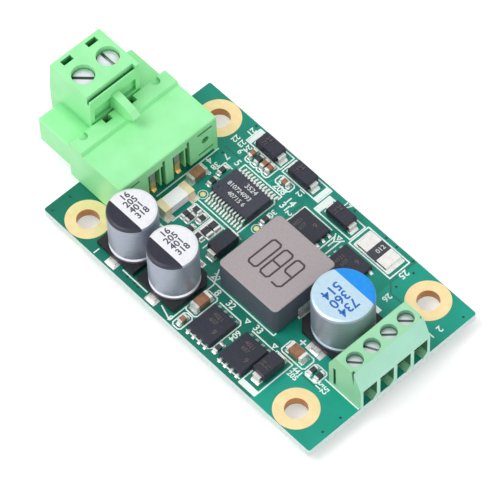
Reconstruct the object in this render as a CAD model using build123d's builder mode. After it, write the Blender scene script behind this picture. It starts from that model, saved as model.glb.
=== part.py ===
"""Buck-boost converter module: a small power board with a two-pole pluggable
input connector, a four-pole screw terminal, a moulded inductor, three can
capacitors and the small parts that make up the converter.

Millimetres. +Z is up, +X runs along the board towards the four-pole terminal.
The origin is the centre of the four mounting holes, on the underside.
"""
import os

from build123d import *

os.makedirs("parts", exist_ok=True)

# Circuit board and its four mounting holes. Its short edges lie under the two
# connectors, and its long edges touch the plated rings.
board_thickness = 1.6
board_corner = 0.4
hole_pitch_x = 47.1
hole_pitch_y = 27.6
hole_diameter = 3.7
ring_diameter = 7.3
ring_edge_gap = 0.05
copper = 0.05
test_pad_diameter = 0.9
test_pad_spots = [(-14.65, 2.2), (-4.2, 3.85)]

board_top = board_thickness
seat = board_top + copper

# Pin tails that pass through the board, and their solder
tail_length = 1.9
solder_height = 1.0
solder_radius = 1.35
drill_clearance = 0.08

# Header of the pluggable connector
pole_pitch = 5.08
connector_y = -0.2
header_to_can = 0.45
header_overhang = 1.75
header_depth = 12.0
header_height = 8.35
header_wall = 0.9
header_floor = 1.05
header_standoff = 0.75
header_foot = 0.7
header_edge = 0.35
header_foot_chamfer = 0.3
flange_width = 4.92
collar_depth = 3.35
collar_height = 0.7
collar_chamfer = 0.4
collar_rear_slope = 0.3
collar_slit = 0.18
collar_slit_end = 0.1
cavity_depth = 8.9
cavity_margin = 0.02
bay_width = 3.5
bay_depth = 2.4
bay_roof = 2.0
bay_rib = 0.3
bay_rib_setback = 0.5
bay_slit = 0.5
bay_slit_roof = 1.0
keyhole_length = 1.45
keyhole_width = 1.4
keyhole_shift = 0.1
keyway_depth = 1.6
keyway_length = 4.0
rear_slot_width = 3.0
rear_slot_height = 0.45
rear_slot_depth = 1.5
rear_slot_rises = [1.85, 6.95]
rear_peep_diameter = 1.4

# Header pins
pin_size = 1.0
pin_rise = 3.85
pin_tip_setback = 0.9
pin_tip_chamfer = 0.2
pin_bend_setback = 1.65
pin_bend_inside = 0.25

# Threaded inserts in the header's flanges, and the plug's flange screws
flange_axis_rise = 4.65
insert_diameter = 3.8
insert_length = 6.0
flange_screw_diameter = 2.4
flange_screw_clearance = 0.05
flange_screw_reach = 5.2
flange_head_diameter = 3.6
flange_head_height = 1.6
flange_head_clearance = 0.1
flange_recess = 1.8
flange_notch_width = 1.5
flange_notch_depth = 1.55

# Plug
plug_gap = 0.1
plug_depth = 9.7
plug_height = 15.0
plug_rise = 0.45
plug_back_lean = 0.65
plug_front_lean = 0.25
plug_knee_height = 8.4
nose_length = 8.4
nose_clearance = 0.15
ear_depth = 7.7
ear_height = 5.4
ear_trim = 0.24
ear_edge = 0.3
ear_end_edge = 0.8
well_diameter = 3.8
well_setback = 4.15
well_depth = 3.0
ceiling_thickness = 0.5
chamber_clearance = 0.12
marker_lip = 0.3
marker_lip_drop = 0.9
marker_groove = 0.45
marker_groove_depth = 1.8
marker_end_wall = 0.8
back_slot_length = 1.0
back_slot_width = 2.0
back_slot_depth = 3.0
back_slot_inset = 0.65
rib_thickness = 1.4
# Side view of the gusset: distance from the plug's front face, and height above its foot
rib_outline = [(0, 0), (3.3, 0), (5.2, 1.6), (5.2, 1.8), (4.2, 2.65), (0, 3.55)]
pocket_width = 3.4
pocket_height = 2.9
pocket_depth = 0.5
entry_width = 3.5
entry_height = 3.4
entry_flare = 0.35

# Plug screws, wire cages and contacts
screw_head_diameter = 3.5
screw_head_height = 2.0
screw_slot_width = 0.55
screw_slot_depth = 0.8
screw_shank_diameter = 2.5
thread_clearance = 0.05
screw_tip_gap = 0.05
cage_length = 4.6
cage_width = 4.1
cage_wall = 0.6
cage_roof = 1.2
cage_window = 4.55
cage_rise = 0.9
bar_thickness = 0.7
bar_width = 2.3
bar_rise = 3.6
bar_clearance = 0.12
contact_neck = 0.7
sleeve_wall = 0.45
sleeve_gap = 0.1
sleeve_setback = 1.2

# Four-pole screw terminal
terminal_poles = 4
terminal_pitch = 3.5
terminal_end_wall = 0.2
terminal_y = 0.2
terminal_to_can = 0.1
terminal_overhang = 0.15
terminal_depth = 6.9
terminal_height = 8.45
terminal_front_height = 4.8
terminal_front_lean = 1.5
terminal_back_height = 5.4
terminal_back_lean = 1.45
small_well_diameter = 2.7
small_well_setback = 3.3
small_well_depth = 2.0
small_ceiling = 0.25
mouth_width = 2.8
mouth_height = 4.55
mouth_depth = 1.4
mouth_wedge = 1.0
mouth_throat_width = 2.1
mouth_throat_height = 2.7
mouth_throat_rise = 0.55
small_chamber_clearance = 0.13
end_groove_width = 0.55
end_groove_depth = 0.45
end_groove_inset = 0.95
end_groove_rise = 0.5
end_groove_height = 4.6
wedge_groove_width = 0.5
wedge_groove_height = 3.4

small_head_diameter = 2.5
small_head_height = 1.0
small_slot_width = 0.42
small_slot_depth = 0.45
small_slot_turns = [42, 27, 48, 45]
small_shank_diameter = 1.5
small_cage_length = 3.2
small_cage_width = 2.4
small_cage_wall = 0.35
small_cage_roof = 0.6
small_cage_window = 2.7
small_cage_rise = 0.4
small_bar_thickness = 0.3
small_bar_width = 1.36
small_bar_rise = 3.0
small_bar_end_gap = 0.3
small_bar_clearance = 0.1
leg_length = 0.6
leg_width = 1.0
leg_inset = 0.5

# Can capacitors: the two of the input side are alike, the output one is larger
input_can_diameter = 8.1
input_can_height = 9.95
input_base_size = 8.3
input_can_spots = [(-14.9, -11.7), (-5.75, -11.7)]
output_can_diameter = 9.9
output_can_height = 9.65
output_base_size = 10.3
output_can_spot = (18.25, 1.0)
base_height = 1.1
base_chamfer = 1.4
base_cup_depth = 0.35
base_cup_clearance = 0.06
can_edge = 0.5
can_edge_step = 0.15
can_bead_height = 0.75
can_bead_rise = 0.25
can_neck = 0.22
can_neck_height = 0.5
tab_width = 1.1
tab_thickness = 0.2
tab_reach = 0.75
tab_run = 3.0
can_pad_toe = 0.6

# Moulded inductor
inductor_size = 12.9
inductor_height = 6.1
inductor_spot = (5.6, -0.78)
inductor_corner = 0.9
inductor_edge = 0.3
inductor_foot = 0.15
clip_width = 3.6
clip_thickness = 0.2
clip_height = 2.3
clip_run = 2.6

# Controller in a 24-lead shrink package
controller_length = 8.2
controller_width = 5.3
controller_height = 1.75
controller_standoff = 0.1
controller_spot = (-9.8, 5.9)
controller_draft = 8
controller_dimple = 0.4
leads_per_side = 12
lead_pitch = 0.65
lead_width = 0.3
lead_thickness = 0.18
lead_span = 8.2
lead_foot = 0.75
lead_slant = 0.08

# Power transistors in flat 5 x 6 packages: centre and turn
mosfet_length = 5.75
mosfet_width = 4.9
mosfet_height = 1.0
mosfet_edge = 0.12
mosfet_spots = [(4.3, -13.25, 0), (11.35, -13.2, 0), (1.4, 9.05, 90), (10.7, 9.05, 90)]
mosfet_lead_pitch = 1.27
mosfet_lead_width = 0.42
mosfet_lead_thickness = 0.25
mosfet_lead_reach = 0.3

# Rectifier diodes: centre and turn, the length along X when the turn is 0
diode_length = 4.3
diode_width = 2.6
diode_height = 2.2
diode_standoff = 0.1
diode_draft = 6
diode_spots = [(-13.2, 15.3, 0), (-5.85, 15.3, 0), (3.75, 14.35, 0), (15.85, -12.2, 90), (-5.15, -2.2, 90)]
diode_tab_width = 1.45
diode_tab_thickness = 0.2
diode_tab_reach = 0.55
diode_tab_run = 1.1

# Current sense resistor
shunt_length = 6.4
shunt_width = 3.2
shunt_height = 0.65
shunt_end = 2.15
shunt_skin = 0.06
shunt_spot = (12.05, 14.45)

# Fuse in a square ceramic tube, lying along Y
fuse_length = 6.1
fuse_width = 2.5
fuse_height = 1.9
fuse_cap_length = 1.25
fuse_cap_skin = 0.08
fuse_spot = (-16.4, -2.0)
fuse_pad_width = 4.0

# Chip parts: length, width, height, length of the tinned ends
large_chip = (3.2, 1.6, 1.25, 0.5)
small_ceramic = (1.6, 0.8, 0.8, 0.35)
small_resistor = (1.6, 0.8, 0.45, 0.3)
medium_resistor = (2.0, 1.25, 0.55, 0.4)
large_ceramic_spots = [(0.05, -11.5, 90), (16.75, -7.2, 0), (-17.85, 3.9, 90)]
small_ceramic_spots = [
    (-14.7, 12.85, 90),
    (-11.95, 12.85, 90),
    (-10.8, 12.85, 90),
    (-7.25, 12.75, 0),
    (0.35, -15.65, 90),
]
small_resistor_spots = [
    (-13.3, 12.85, 90),
    (7.75, -15.1, 90),
    (20.5, -7.45, 90),
    (21.85, -7.45, 90),
    (-13.1, -0.55, 0),
    (-13.7, -2.2, 90),
    (-12.7, -2.2, 90),
    (-11.35, -1.0, 90),
    (-11.2, -3.7, 90),
    (-9.3, -3.65, 0),
    (-15.8, 7.4, 90),
    (-15.35, 4.9, 90),
    (-4.35, 5.9, 90),
]
medium_resistor_spots = [(-9.05, -0.7, 0), (-9.05, -2.2, 0)]
pad_margin = 0.1
pad_toe = 0.35

# Places worked out from the sizes above. Each connector stands beside the base of the nearest can.
hole_spots = [(sx * hole_pitch_x / 2, sy * hole_pitch_y / 2) for sx in (-1, 1) for sy in (-1, 1)]
header_rear = input_can_spots[0][0] - input_base_size / 2 - header_to_can
header_front = header_rear - header_depth
header_top = seat + header_height
header_width = 2 * pole_pitch + 2 * flange_width
cavity_half = pole_pitch + cavity_margin
cavity_floor = seat + header_floor
cavity_ceiling = header_top - header_wall
pole_ys = [connector_y + pole_pitch / 2, connector_y - pole_pitch / 2]
flange_offset = pole_pitch + flange_width / 2
flange_ys = [connector_y + flange_offset, connector_y - flange_offset]
flange_z = seat + flange_axis_rise
pin_z = seat + pin_rise
pin_x = header_rear - pin_bend_setback
tail_z = -tail_length

plug_front = header_front - plug_gap
plug_back = plug_front - plug_depth
plug_bottom = seat + plug_rise
plug_top = plug_bottom + plug_height
well_x = plug_front - well_setback
ceiling_top = plug_top - well_depth
ceiling_under = ceiling_top - ceiling_thickness
chamber_half_x = cage_length / 2 + chamber_clearance
chamber_half_y = cage_width / 2 + chamber_clearance
cage_bottom = plug_bottom + cage_rise
cage_top = cage_bottom + cage_wall + cage_window + cage_roof
bar_under = cage_bottom + cage_wall + bar_rise
bar_top = bar_under + bar_thickness
sleeve_half = pin_size / 2 + sleeve_gap + sleeve_wall
neck_x = plug_front - contact_neck
ear_bottom = flange_z - ear_height / 2
ear_side = header_width / 2 - ear_trim

terminal_back = output_can_spot[0] + output_base_size / 2 + terminal_to_can
terminal_front = terminal_back + terminal_depth
terminal_top = seat + terminal_height
terminal_width = terminal_poles * terminal_pitch + 2 * terminal_end_wall
terminal_ys = [terminal_y + (i - (terminal_poles - 1) / 2) * terminal_pitch for i in range(terminal_poles)]
small_well_x = terminal_front - small_well_setback
small_ceiling_top = terminal_top - small_well_depth
small_ceiling_under = small_ceiling_top - small_ceiling
small_cage_bottom = seat + small_cage_rise
small_cage_height = small_cage_wall + small_cage_window + small_cage_roof
small_bar_under = seat + small_bar_rise
small_bar_top = small_bar_under + small_bar_thickness
small_chamber_half_x = small_cage_length / 2 + small_chamber_clearance
small_chamber_half_y = small_cage_width / 2 + small_chamber_clearance
leg_x = terminal_back + leg_inset + leg_length / 2

board_left = header_front + header_overhang
board_right = terminal_front - terminal_overhang
board_width = hole_pitch_y + ring_diameter + 2 * ring_edge_gap


def placed(x, y, z, turn):
    """A plane parallel to the board at height z, turned by an angle about +Z."""
    return Plane(Location((x, y, z), (0, 0, turn)))


def block(x0, x1, y0, y1, z0, z1, mode=Mode.ADD):
    """A box between two corners, added to or cut from the part that is being built."""
    with Locations(((x0 + x1) / 2, (y0 + y1) / 2, (z0 + z1) / 2)):
        Box(x1 - x0, y1 - y0, z1 - z0, mode=mode)


# Bare board: drilled for the plated holes and for the pin tails
pin_drill = pin_size * 2**0.5 / 2 + drill_clearance
leg_drill = (leg_length**2 + leg_width**2) ** 0.5 / 2 + drill_clearance
with BuildPart() as board:
    with BuildSketch():
        with Locations(((board_left + board_right) / 2, 0)):
            RectangleRounded(board_right - board_left, board_width, board_corner)
        with Locations(*hole_spots):
            Circle(hole_diameter / 2 + copper, mode=Mode.SUBTRACT)
        with Locations(*[(pin_x, y) for y in pole_ys]):
            Circle(pin_drill, mode=Mode.SUBTRACT)
        with Locations(*[(leg_x, y) for y in terminal_ys]):
            Circle(leg_drill, mode=Mode.SUBTRACT)
    extrude(amount=board_thickness)
board.part.label = "board"
export_step(board.part, "parts/board.step")

# Plated barrels with a ring on each face
with BuildPart() as gold_plating:
    with BuildSketch(Plane.XY.offset(-copper)):
        with Locations(*hole_spots):
            Circle(hole_diameter / 2 + copper)
    extrude(amount=board_thickness + 2 * copper)
    with BuildSketch(Plane.XY.offset(-copper), Plane.XY.offset(board_top)):
        with Locations(*hole_spots):
            Circle(ring_diameter / 2)
    extrude(amount=copper)
    with Locations(*[(x, y, board_top / 2) for x, y in hole_spots]):
        Hole(hole_diameter / 2)
gold_plating.part.label = "gold_plating"
export_step(gold_plating.part, "parts/gold_plating.step")

with BuildPart() as test_pads:
    with BuildSketch(Plane.XY.offset(board_top)):
        with Locations(*test_pad_spots):
            Circle(test_pad_diameter / 2)
    extrude(amount=copper)
test_pads.part.label = "test_pads"
export_step(test_pads.part, "parts/test_pads.step")

# Header housing: an open box towards -X, with a raised collar at its mouth and
# a flange with a threaded insert at each side
crease = header_front + collar_depth
with BuildPart() as header_housing:
    with BuildSketch(Plane.XZ.offset(-connector_y)):
        with BuildLine():
            Polyline(
                (header_front, seat),
                (header_rear, seat),
                (header_rear, header_top),
                (crease, header_top),
                (crease - collar_rear_slope, header_top + collar_height),
                (header_front + collar_chamfer, header_top + collar_height),
                (header_front, header_top + collar_height - collar_chamfer),
                close=True,
            )
        make_face()
    extrude(amount=header_width / 2, both=True)
    cross_edges = header_housing.edges().filter_by(Axis.Y)
    fillet(cross_edges.sort_by_distance((header_rear, connector_y, header_top))[0], header_edge)
    sole = header_housing.faces().filter_by(Axis.Z).sort_by(Axis.Z)[0]
    chamfer(sole.edges().filter_by(Axis.X), header_foot_chamfer)
    # cavity for the plug, and the relief under the housing between its feet
    block(header_front, header_front + cavity_depth, connector_y - cavity_half, connector_y + cavity_half,
          cavity_floor, cavity_ceiling, Mode.SUBTRACT)
    block(header_front + header_foot, header_rear, connector_y - header_width / 2 + header_foot,
          connector_y + header_width / 2 - header_foot, seat, seat + header_standoff, Mode.SUBTRACT)
    for y in pole_ys:
        # rear bay round the bent pin, with its thin rib
        slit_y = y + bay_width / 2 - bay_slit
        block(header_rear - bay_depth, header_rear, y - bay_width / 2, slit_y,
              seat, header_top - bay_roof, Mode.SUBTRACT)
        block(header_rear - bay_depth, header_rear - bay_rib_setback, slit_y - bay_rib, slit_y,
              seat + header_standoff, header_top - bay_roof)
        block(header_rear - bay_depth, header_rear, slit_y, y + bay_width / 2,
              seat, header_top - bay_slit_roof, Mode.SUBTRACT)
        # hole that grips the pin
        block(header_front + cavity_depth, header_rear - bay_depth, y - pin_size / 2, y + pin_size / 2,
              pin_z - pin_size / 2, pin_z + pin_size / 2, Mode.SUBTRACT)
        # keyhole in the collar, open at the front
        key_y = y - keyhole_shift
        block(header_front, header_front + keyhole_length, key_y - keyhole_width / 2, key_y + keyhole_width / 2,
              cavity_ceiling, header_top + collar_height, Mode.SUBTRACT)
    # slit along the collar's front, between the two flanges
    slit_half = pole_pitch - collar_slit_end
    block(header_front, header_front + collar_slit, connector_y - slit_half, connector_y + slit_half,
          cavity_ceiling, header_top + collar_height, Mode.SUBTRACT)
    with BuildSketch(Plane.YZ.offset(header_front)):
        with Locations(*[(y, flange_z) for y in flange_ys]):
            Circle(insert_diameter / 2)
    extrude(amount=insert_length, mode=Mode.SUBTRACT)
    with BuildSketch(Plane.YZ.offset(header_front)):
        with Locations(*[(y, flange_z) for y in flange_ys]):
            Circle(rear_peep_diameter / 2)
    extrude(amount=header_depth, mode=Mode.SUBTRACT)
    with BuildSketch(Plane.XY.offset(header_top)):
        with Locations(*[(header_front, y) for y in flange_ys]):
            SlotOverall(2 * flange_notch_depth, flange_notch_width)
    extrude(amount=collar_height, mode=Mode.SUBTRACT)
    for y in flange_ys:
        for rise in rear_slot_rises:
            z = seat + rise
            block(header_rear - rear_slot_depth, header_rear, y - rear_slot_width / 2, y + rear_slot_width / 2,
                  z - rear_slot_height / 2, z + rear_slot_height / 2, Mode.SUBTRACT)
header_housing.part.label = "header_housing"
export_step(header_housing.part, "parts/header_housing.step")

# Header pins: square wire, straight in the cavity and bent down through the board
pin_tip_x = header_front + pin_tip_setback
bend_outside = pin_bend_inside + pin_size
for number, y in enumerate(pole_ys, start=1):
    with BuildPart() as header_pin:
        with BuildSketch(Plane.XZ.offset(-y)) as bent:
            with BuildLine():
                Polyline(
                    (pin_tip_x, pin_z - pin_size / 2),
                    (pin_x - pin_size / 2, pin_z - pin_size / 2),
                    (pin_x - pin_size / 2, tail_z),
                    (pin_x + pin_size / 2, tail_z),
                    (pin_x + pin_size / 2, pin_z + pin_size / 2),
                    (pin_tip_x, pin_z + pin_size / 2),
                    close=True,
                )
            make_face()
            corners = bent.vertices().sort_by_distance((pin_x, y, pin_z))
            inner = corners.filter_by_position(Axis.X, pin_x - pin_size, pin_x).sort_by(Axis.Z)[-1]
            outer = corners.filter_by_position(Axis.X, pin_x, pin_x + pin_size).sort_by(Axis.Z)[-1]
            fillet(inner, pin_bend_inside)
            fillet(outer, bend_outside)
        extrude(amount=pin_size / 2, both=True)
        tip = header_pin.faces().sort_by(Axis.X)[0]
        chamfer(tip.edges(), pin_tip_chamfer)
    header_pin.part.label = f"header_pin_{number}"
    export_step(header_pin.part, f"parts/header_pin_{number}.step")

# Threaded inserts of the header's flanges
insert_bore = flange_screw_diameter / 2 + flange_screw_clearance
with BuildPart() as header_inserts:
    with BuildSketch(Plane.YZ.offset(header_front)):
        with Locations(*[(y, flange_z) for y in flange_ys]):
            Circle(insert_diameter / 2)
            Circle(insert_bore, mode=Mode.SUBTRACT)
    extrude(amount=insert_length)
header_inserts.part.label = "header_inserts"
export_step(header_inserts.part, "parts/header_inserts.step")

# Ears of the plug, one bar through its clamp block, rounded at the end towards -X
ear_end = plug_front - ear_depth
with BuildPart() as ears:
    with BuildSketch(Plane.XZ.offset(-connector_y)) as side_view:
        with Locations((plug_front - ear_depth / 2, flange_z)):
            Rectangle(ear_depth, ear_height)
        fillet(side_view.vertices().group_by(Axis.X)[0], ear_end_edge)
    extrude(amount=ear_side, both=True)
    with BuildSketch(Plane.XY.offset(ear_bottom)) as top_view:
        with Locations((plug_front - ear_depth / 2, connector_y)):
            Rectangle(ear_depth, 2 * ear_side)
        fillet(top_view.vertices().group_by(Axis.X)[0], ear_end_edge)
    extrude(amount=ear_height, mode=Mode.INTERSECT)
    with BuildSketch(Plane.YZ.offset(ear_end)):
        with Locations((connector_y, flange_z)):
            RectangleRounded(2 * ear_side, ear_height, ear_edge)
    extrude(amount=ear_depth, mode=Mode.INTERSECT)

# Plug housing: the clamp block behind the header, the nose inside it, and two ears
nose_tip = plug_front + nose_length
nose_half = cavity_half - nose_clearance
nose_bottom = cavity_floor + nose_clearance
nose_top = cavity_ceiling - nose_clearance
knee_z = plug_bottom + plug_knee_height
rib_base = header_top + collar_height + plug_gap
with BuildPart() as plug_housing:
    with BuildSketch(Plane.XZ.offset(-connector_y)):
        with BuildLine():
            Polyline(
                (plug_front, plug_bottom),
                (plug_front, rib_base),
                (plug_front + plug_front_lean, plug_top),
                (plug_back + plug_back_lean, plug_top),
                (plug_back, knee_z),
                (plug_back, plug_bottom),
                close=True,
            )
        make_face()
    extrude(amount=pole_pitch, both=True)
    block(plug_front, nose_tip, connector_y - nose_half, connector_y + nose_half, nose_bottom, nose_top)
    add(ears.part)
    # gusset between the poles, which reaches over the header's collar
    with BuildSketch(Plane.XZ.offset(-connector_y)):
        with BuildLine():
            Polyline(*[(plug_front + x, rib_base + z) for x, z in rib_outline], close=True)
        make_face()
    extrude(amount=rib_thickness / 2, both=True)
    # marker groove along the top edge, closed at one end
    lip_front = plug_front + plug_front_lean
    block(lip_front - marker_lip, lip_front, connector_y - pole_pitch, connector_y + pole_pitch - marker_end_wall,
          plug_top - marker_lip_drop, plug_top, Mode.SUBTRACT)
    block(lip_front - marker_lip - marker_groove, lip_front - marker_lip, connector_y - pole_pitch,
          connector_y + pole_pitch - marker_end_wall, plug_top - marker_groove_depth, plug_top, Mode.SUBTRACT)
    for y in pole_ys:
        # screw well, its ceiling hole, and the chamber of the wire cage
        with BuildSketch(Plane.XY.offset(ceiling_top)):
            with Locations((well_x, y)):
                Circle(well_diameter / 2)
        extrude(amount=well_depth, mode=Mode.SUBTRACT)
        with BuildSketch(Plane.XY.offset(ceiling_under)):
            with Locations((well_x, y)):
                Circle(screw_shank_diameter / 2 + chamber_clearance)
        extrude(amount=ceiling_thickness, mode=Mode.SUBTRACT)
        block(well_x - chamber_half_x, well_x + chamber_half_x, y - chamber_half_y, y + chamber_half_y,
              cage_bottom - chamber_clearance, ceiling_under, Mode.SUBTRACT)
        # flared wire entry
        entry_z = cage_bottom + cage_wall + entry_height / 2
        with BuildSketch(Plane.YZ.offset(plug_back)):
            with Locations((y, entry_z)):
                Rectangle(entry_width + entry_flare, entry_height + entry_flare)
        with BuildSketch(Plane.YZ.offset(well_x - chamber_half_x)):
            with Locations((y, entry_z)):
                Rectangle(entry_width - entry_flare, entry_height - entry_flare)
        loft(mode=Mode.SUBTRACT)
        # way for the contact: over the front wall, down the neck, along the nose
        half = sleeve_half + bar_clearance
        block(well_x, plug_front, y - half, y + half, bar_under - bar_clearance, bar_top + bar_clearance, Mode.SUBTRACT)
        block(neck_x - bar_clearance, plug_front, y - half, y + half, pin_z - half, bar_top, Mode.SUBTRACT)
        block(neck_x, nose_tip, y - half, y + half, pin_z - half, pin_z + half, Mode.SUBTRACT)
        # keyway in the nose's top, under the header's keyhole
        key_y = y - keyhole_shift
        block(plug_front, plug_front + keyway_length, key_y - keyhole_width / 2, key_y + keyhole_width / 2,
              nose_top - keyway_depth, nose_top, Mode.SUBTRACT)
        # slot behind the screw, and the pocket in the front face
        slot_x = plug_back + plug_back_lean + back_slot_inset
        block(slot_x, slot_x + back_slot_length, y - back_slot_width / 2, y + back_slot_width / 2,
              plug_top - back_slot_depth, plug_top, Mode.SUBTRACT)
        block(plug_front - pocket_depth, plug_front + plug_front_lean, y - pocket_width / 2, y + pocket_width / 2,
              rib_base, rib_base + pocket_height, Mode.SUBTRACT)
    with BuildSketch(Plane.YZ.offset(plug_front)):
        with Locations(*[(y, flange_z) for y in flange_ys]):
            Circle(insert_bore)
    extrude(amount=-ear_depth, mode=Mode.SUBTRACT)
    with BuildSketch(Plane.YZ.offset(ear_end)):
        with Locations(*[(y, flange_z) for y in flange_ys]):
            Circle(flange_head_diameter / 2 + flange_head_clearance)
    extrude(amount=flange_recess, mode=Mode.SUBTRACT)
plug_housing.part.label = "plug_housing"
export_step(plug_housing.part, "parts/plug_housing.step")


def slotted_screw(axis_plane, head_diameter, head_height, shank_diameter, shank_length, slot_width, slot_depth):
    """A cheese-head screw whose head starts on the plane and whose shank runs the other way."""
    with BuildPart() as screw:
        with BuildSketch(axis_plane):
            Circle(head_diameter / 2)
        extrude(amount=head_height)
        with BuildSketch(axis_plane):
            Circle(shank_diameter / 2)
        extrude(amount=-shank_length)
        with BuildSketch(axis_plane.offset(head_height - slot_depth)):
            Rectangle(2 * head_diameter, slot_width)
        extrude(amount=slot_depth, mode=Mode.SUBTRACT)
    return screw.part


def wire_cage(x, y, z, length, width, wall, window, roof, bore):
    """A clamp cage: a square tube along X with the screw's hole in its roof, bottom at z."""
    with BuildPart() as cage:
        height = wall + window + roof
        block(x - length / 2, x + length / 2, y - width / 2, y + width / 2, z, z + height)
        block(x - length / 2, x + length / 2, y - width / 2 + wall, y + width / 2 - wall,
              z + wall, z + wall + window, Mode.SUBTRACT)
        with BuildSketch(Plane.XY.offset(z + wall + window)):
            with Locations((x, y)):
                Circle(bore)
        extrude(amount=roof, mode=Mode.SUBTRACT)
    return cage.part


# Clamp screws, cages and contacts of the plug. Each screw turns in place between its
# ceiling and the contact bar, and draws its cage up.
screw_seat = ceiling_top + screw_tip_gap
for number, y in enumerate(pole_ys, start=1):
    plug_screw = slotted_screw(
        Plane((well_x, y, screw_seat), x_dir=(1, number - 1, 0)),
        screw_head_diameter, screw_head_height, screw_shank_diameter,
        screw_seat - bar_top - screw_tip_gap, screw_slot_width, screw_slot_depth,
    )
    plug_screw.label = f"plug_screw_{number}"
    export_step(plug_screw, f"parts/plug_screw_{number}.step")

    plug_cage = wire_cage(
        well_x, y, cage_bottom, cage_length, cage_width, cage_wall, cage_window, cage_roof,
        screw_shank_diameter / 2 + thread_clearance,
    )
    plug_cage.label = f"plug_cage_{number}"
    export_step(plug_cage, f"parts/plug_cage_{number}.step")

    with BuildPart() as plug_contact:
        bar_start = well_x - cage_length / 2
        sleeve_end = nose_tip - sleeve_setback
        block(bar_start, plug_front, y - bar_width / 2, y + bar_width / 2, bar_under, bar_top)
        block(neck_x, plug_front, y - bar_width / 2, y + bar_width / 2, pin_z - sleeve_half, bar_top)
        block(neck_x, sleeve_end, y - sleeve_half, y + sleeve_half, pin_z - sleeve_half, pin_z + sleeve_half)
        gap_half = pin_size / 2 + sleeve_gap
        block(pin_tip_x - pin_size, sleeve_end, y - gap_half, y + gap_half,
              pin_z - gap_half, pin_z + gap_half, Mode.SUBTRACT)
    plug_contact.part.label = f"plug_contact_{number}"
    export_step(plug_contact.part, f"parts/plug_contact_{number}.step")

# Flange screws, heads towards -X, sunk in the ears
for number, y in enumerate(flange_ys, start=1):
    flange_screw = slotted_screw(
        Plane((ear_end + flange_recess - screw_tip_gap, y, flange_z), x_dir=(0, 1, number), z_dir=(-1, 0, 0)),
        flange_head_diameter, flange_head_height, flange_screw_diameter,
        ear_depth - flange_recess + plug_gap + flange_screw_reach, screw_slot_width, screw_slot_depth,
    )
    flange_screw.label = f"flange_screw_{number}"
    export_step(flange_screw, f"parts/flange_screw_{number}.step")

# Housing of the four-pole terminal
front_shoulder = seat + terminal_front_height
roof_front = terminal_front - terminal_front_lean
with BuildPart() as terminal_housing:
    with BuildSketch(Plane.XZ.offset(-terminal_y)):
        with BuildLine():
            Polyline(
                (terminal_back, seat),
                (terminal_front, seat),
                (terminal_front, front_shoulder),
                (roof_front, terminal_top),
                (terminal_back + terminal_back_lean, terminal_top),
                (terminal_back, seat + terminal_back_height),
                close=True,
            )
        make_face()
    extrude(amount=terminal_width / 2, both=True)
    for y in terminal_ys:
        with BuildSketch(Plane.XY.offset(small_ceiling_top)):
            with Locations((small_well_x, y)):
                Circle(small_well_diameter / 2)
        extrude(amount=small_well_depth, mode=Mode.SUBTRACT)
        with BuildSketch(Plane.XY.offset(small_ceiling_under)):
            with Locations((small_well_x, y)):
                Circle(small_shank_diameter / 2 + small_chamber_clearance)
        extrude(amount=small_ceiling, mode=Mode.SUBTRACT)
        block(small_well_x - small_chamber_half_x, small_well_x + small_chamber_half_x,
              y - small_chamber_half_y, y + small_chamber_half_y, seat, small_ceiling_under, Mode.SUBTRACT)
        # wire mouth, with a wedge in one lower corner
        with BuildSketch(Plane.YZ.offset(terminal_front - mouth_depth)):
            with BuildLine():
                Polyline(
                    (y - mouth_width / 2, seat),
                    (y + mouth_width / 2 - mouth_wedge, seat),
                    (y + mouth_width / 2, seat + mouth_wedge),
                    (y + mouth_width / 2, seat + mouth_height),
                    (y - mouth_width / 2, seat + mouth_height),
                    close=True,
                )
            make_face()
        extrude(amount=mouth_depth, mode=Mode.SUBTRACT)
        block(small_well_x, terminal_front - mouth_depth, y - mouth_throat_width / 2, y + mouth_throat_width / 2,
              seat + mouth_throat_rise, seat + mouth_throat_rise + mouth_throat_height, Mode.SUBTRACT)
        # slot of the leg and of the bar behind the chamber
        half = small_bar_width / 2 + small_bar_clearance
        block(leg_x - leg_length / 2, small_well_x, y - half, y + half,
              seat, small_bar_top + small_bar_clearance, Mode.SUBTRACT)
    # grooves in both end faces
    for side in (-1, 1):
        face_y = terminal_y + side * terminal_width / 2
        y0, y1 = sorted((face_y, face_y - side * end_groove_depth))
        block(terminal_back + end_groove_inset, terminal_back + end_groove_inset + end_groove_width, y0, y1,
              seat + end_groove_rise, seat + end_groove_rise + end_groove_height, Mode.SUBTRACT)
        with BuildSketch(Plane.XZ.offset(-face_y)):
            with BuildLine():
                Polyline(
                    (roof_front, terminal_top),
                    (roof_front - wedge_groove_width, terminal_top),
                    (roof_front, terminal_top - wedge_groove_height),
                    close=True,
                )
            make_face()
        extrude(amount=side * end_groove_depth, mode=Mode.SUBTRACT)
terminal_housing.part.label = "terminal_housing"
export_step(terminal_housing.part, "parts/terminal_housing.step")

small_seat = small_ceiling_top + screw_tip_gap
for number, (y, turn) in enumerate(zip(terminal_ys, small_slot_turns), start=1):
    terminal_screw = slotted_screw(
        placed(small_well_x, y, small_seat, turn),
        small_head_diameter, small_head_height, small_shank_diameter,
        small_seat - small_bar_top - screw_tip_gap, small_slot_width, small_slot_depth,
    )
    terminal_screw.label = f"terminal_screw_{number}"
    export_step(terminal_screw, f"parts/terminal_screw_{number}.step")

    terminal_cage = wire_cage(
        small_well_x, y, small_cage_bottom, small_cage_length, small_cage_width,
        small_cage_wall, small_cage_window, small_cage_roof, small_shank_diameter / 2 + thread_clearance,
    )
    terminal_cage.label = f"terminal_cage_{number}"
    export_step(terminal_cage, f"parts/terminal_cage_{number}.step")

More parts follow.
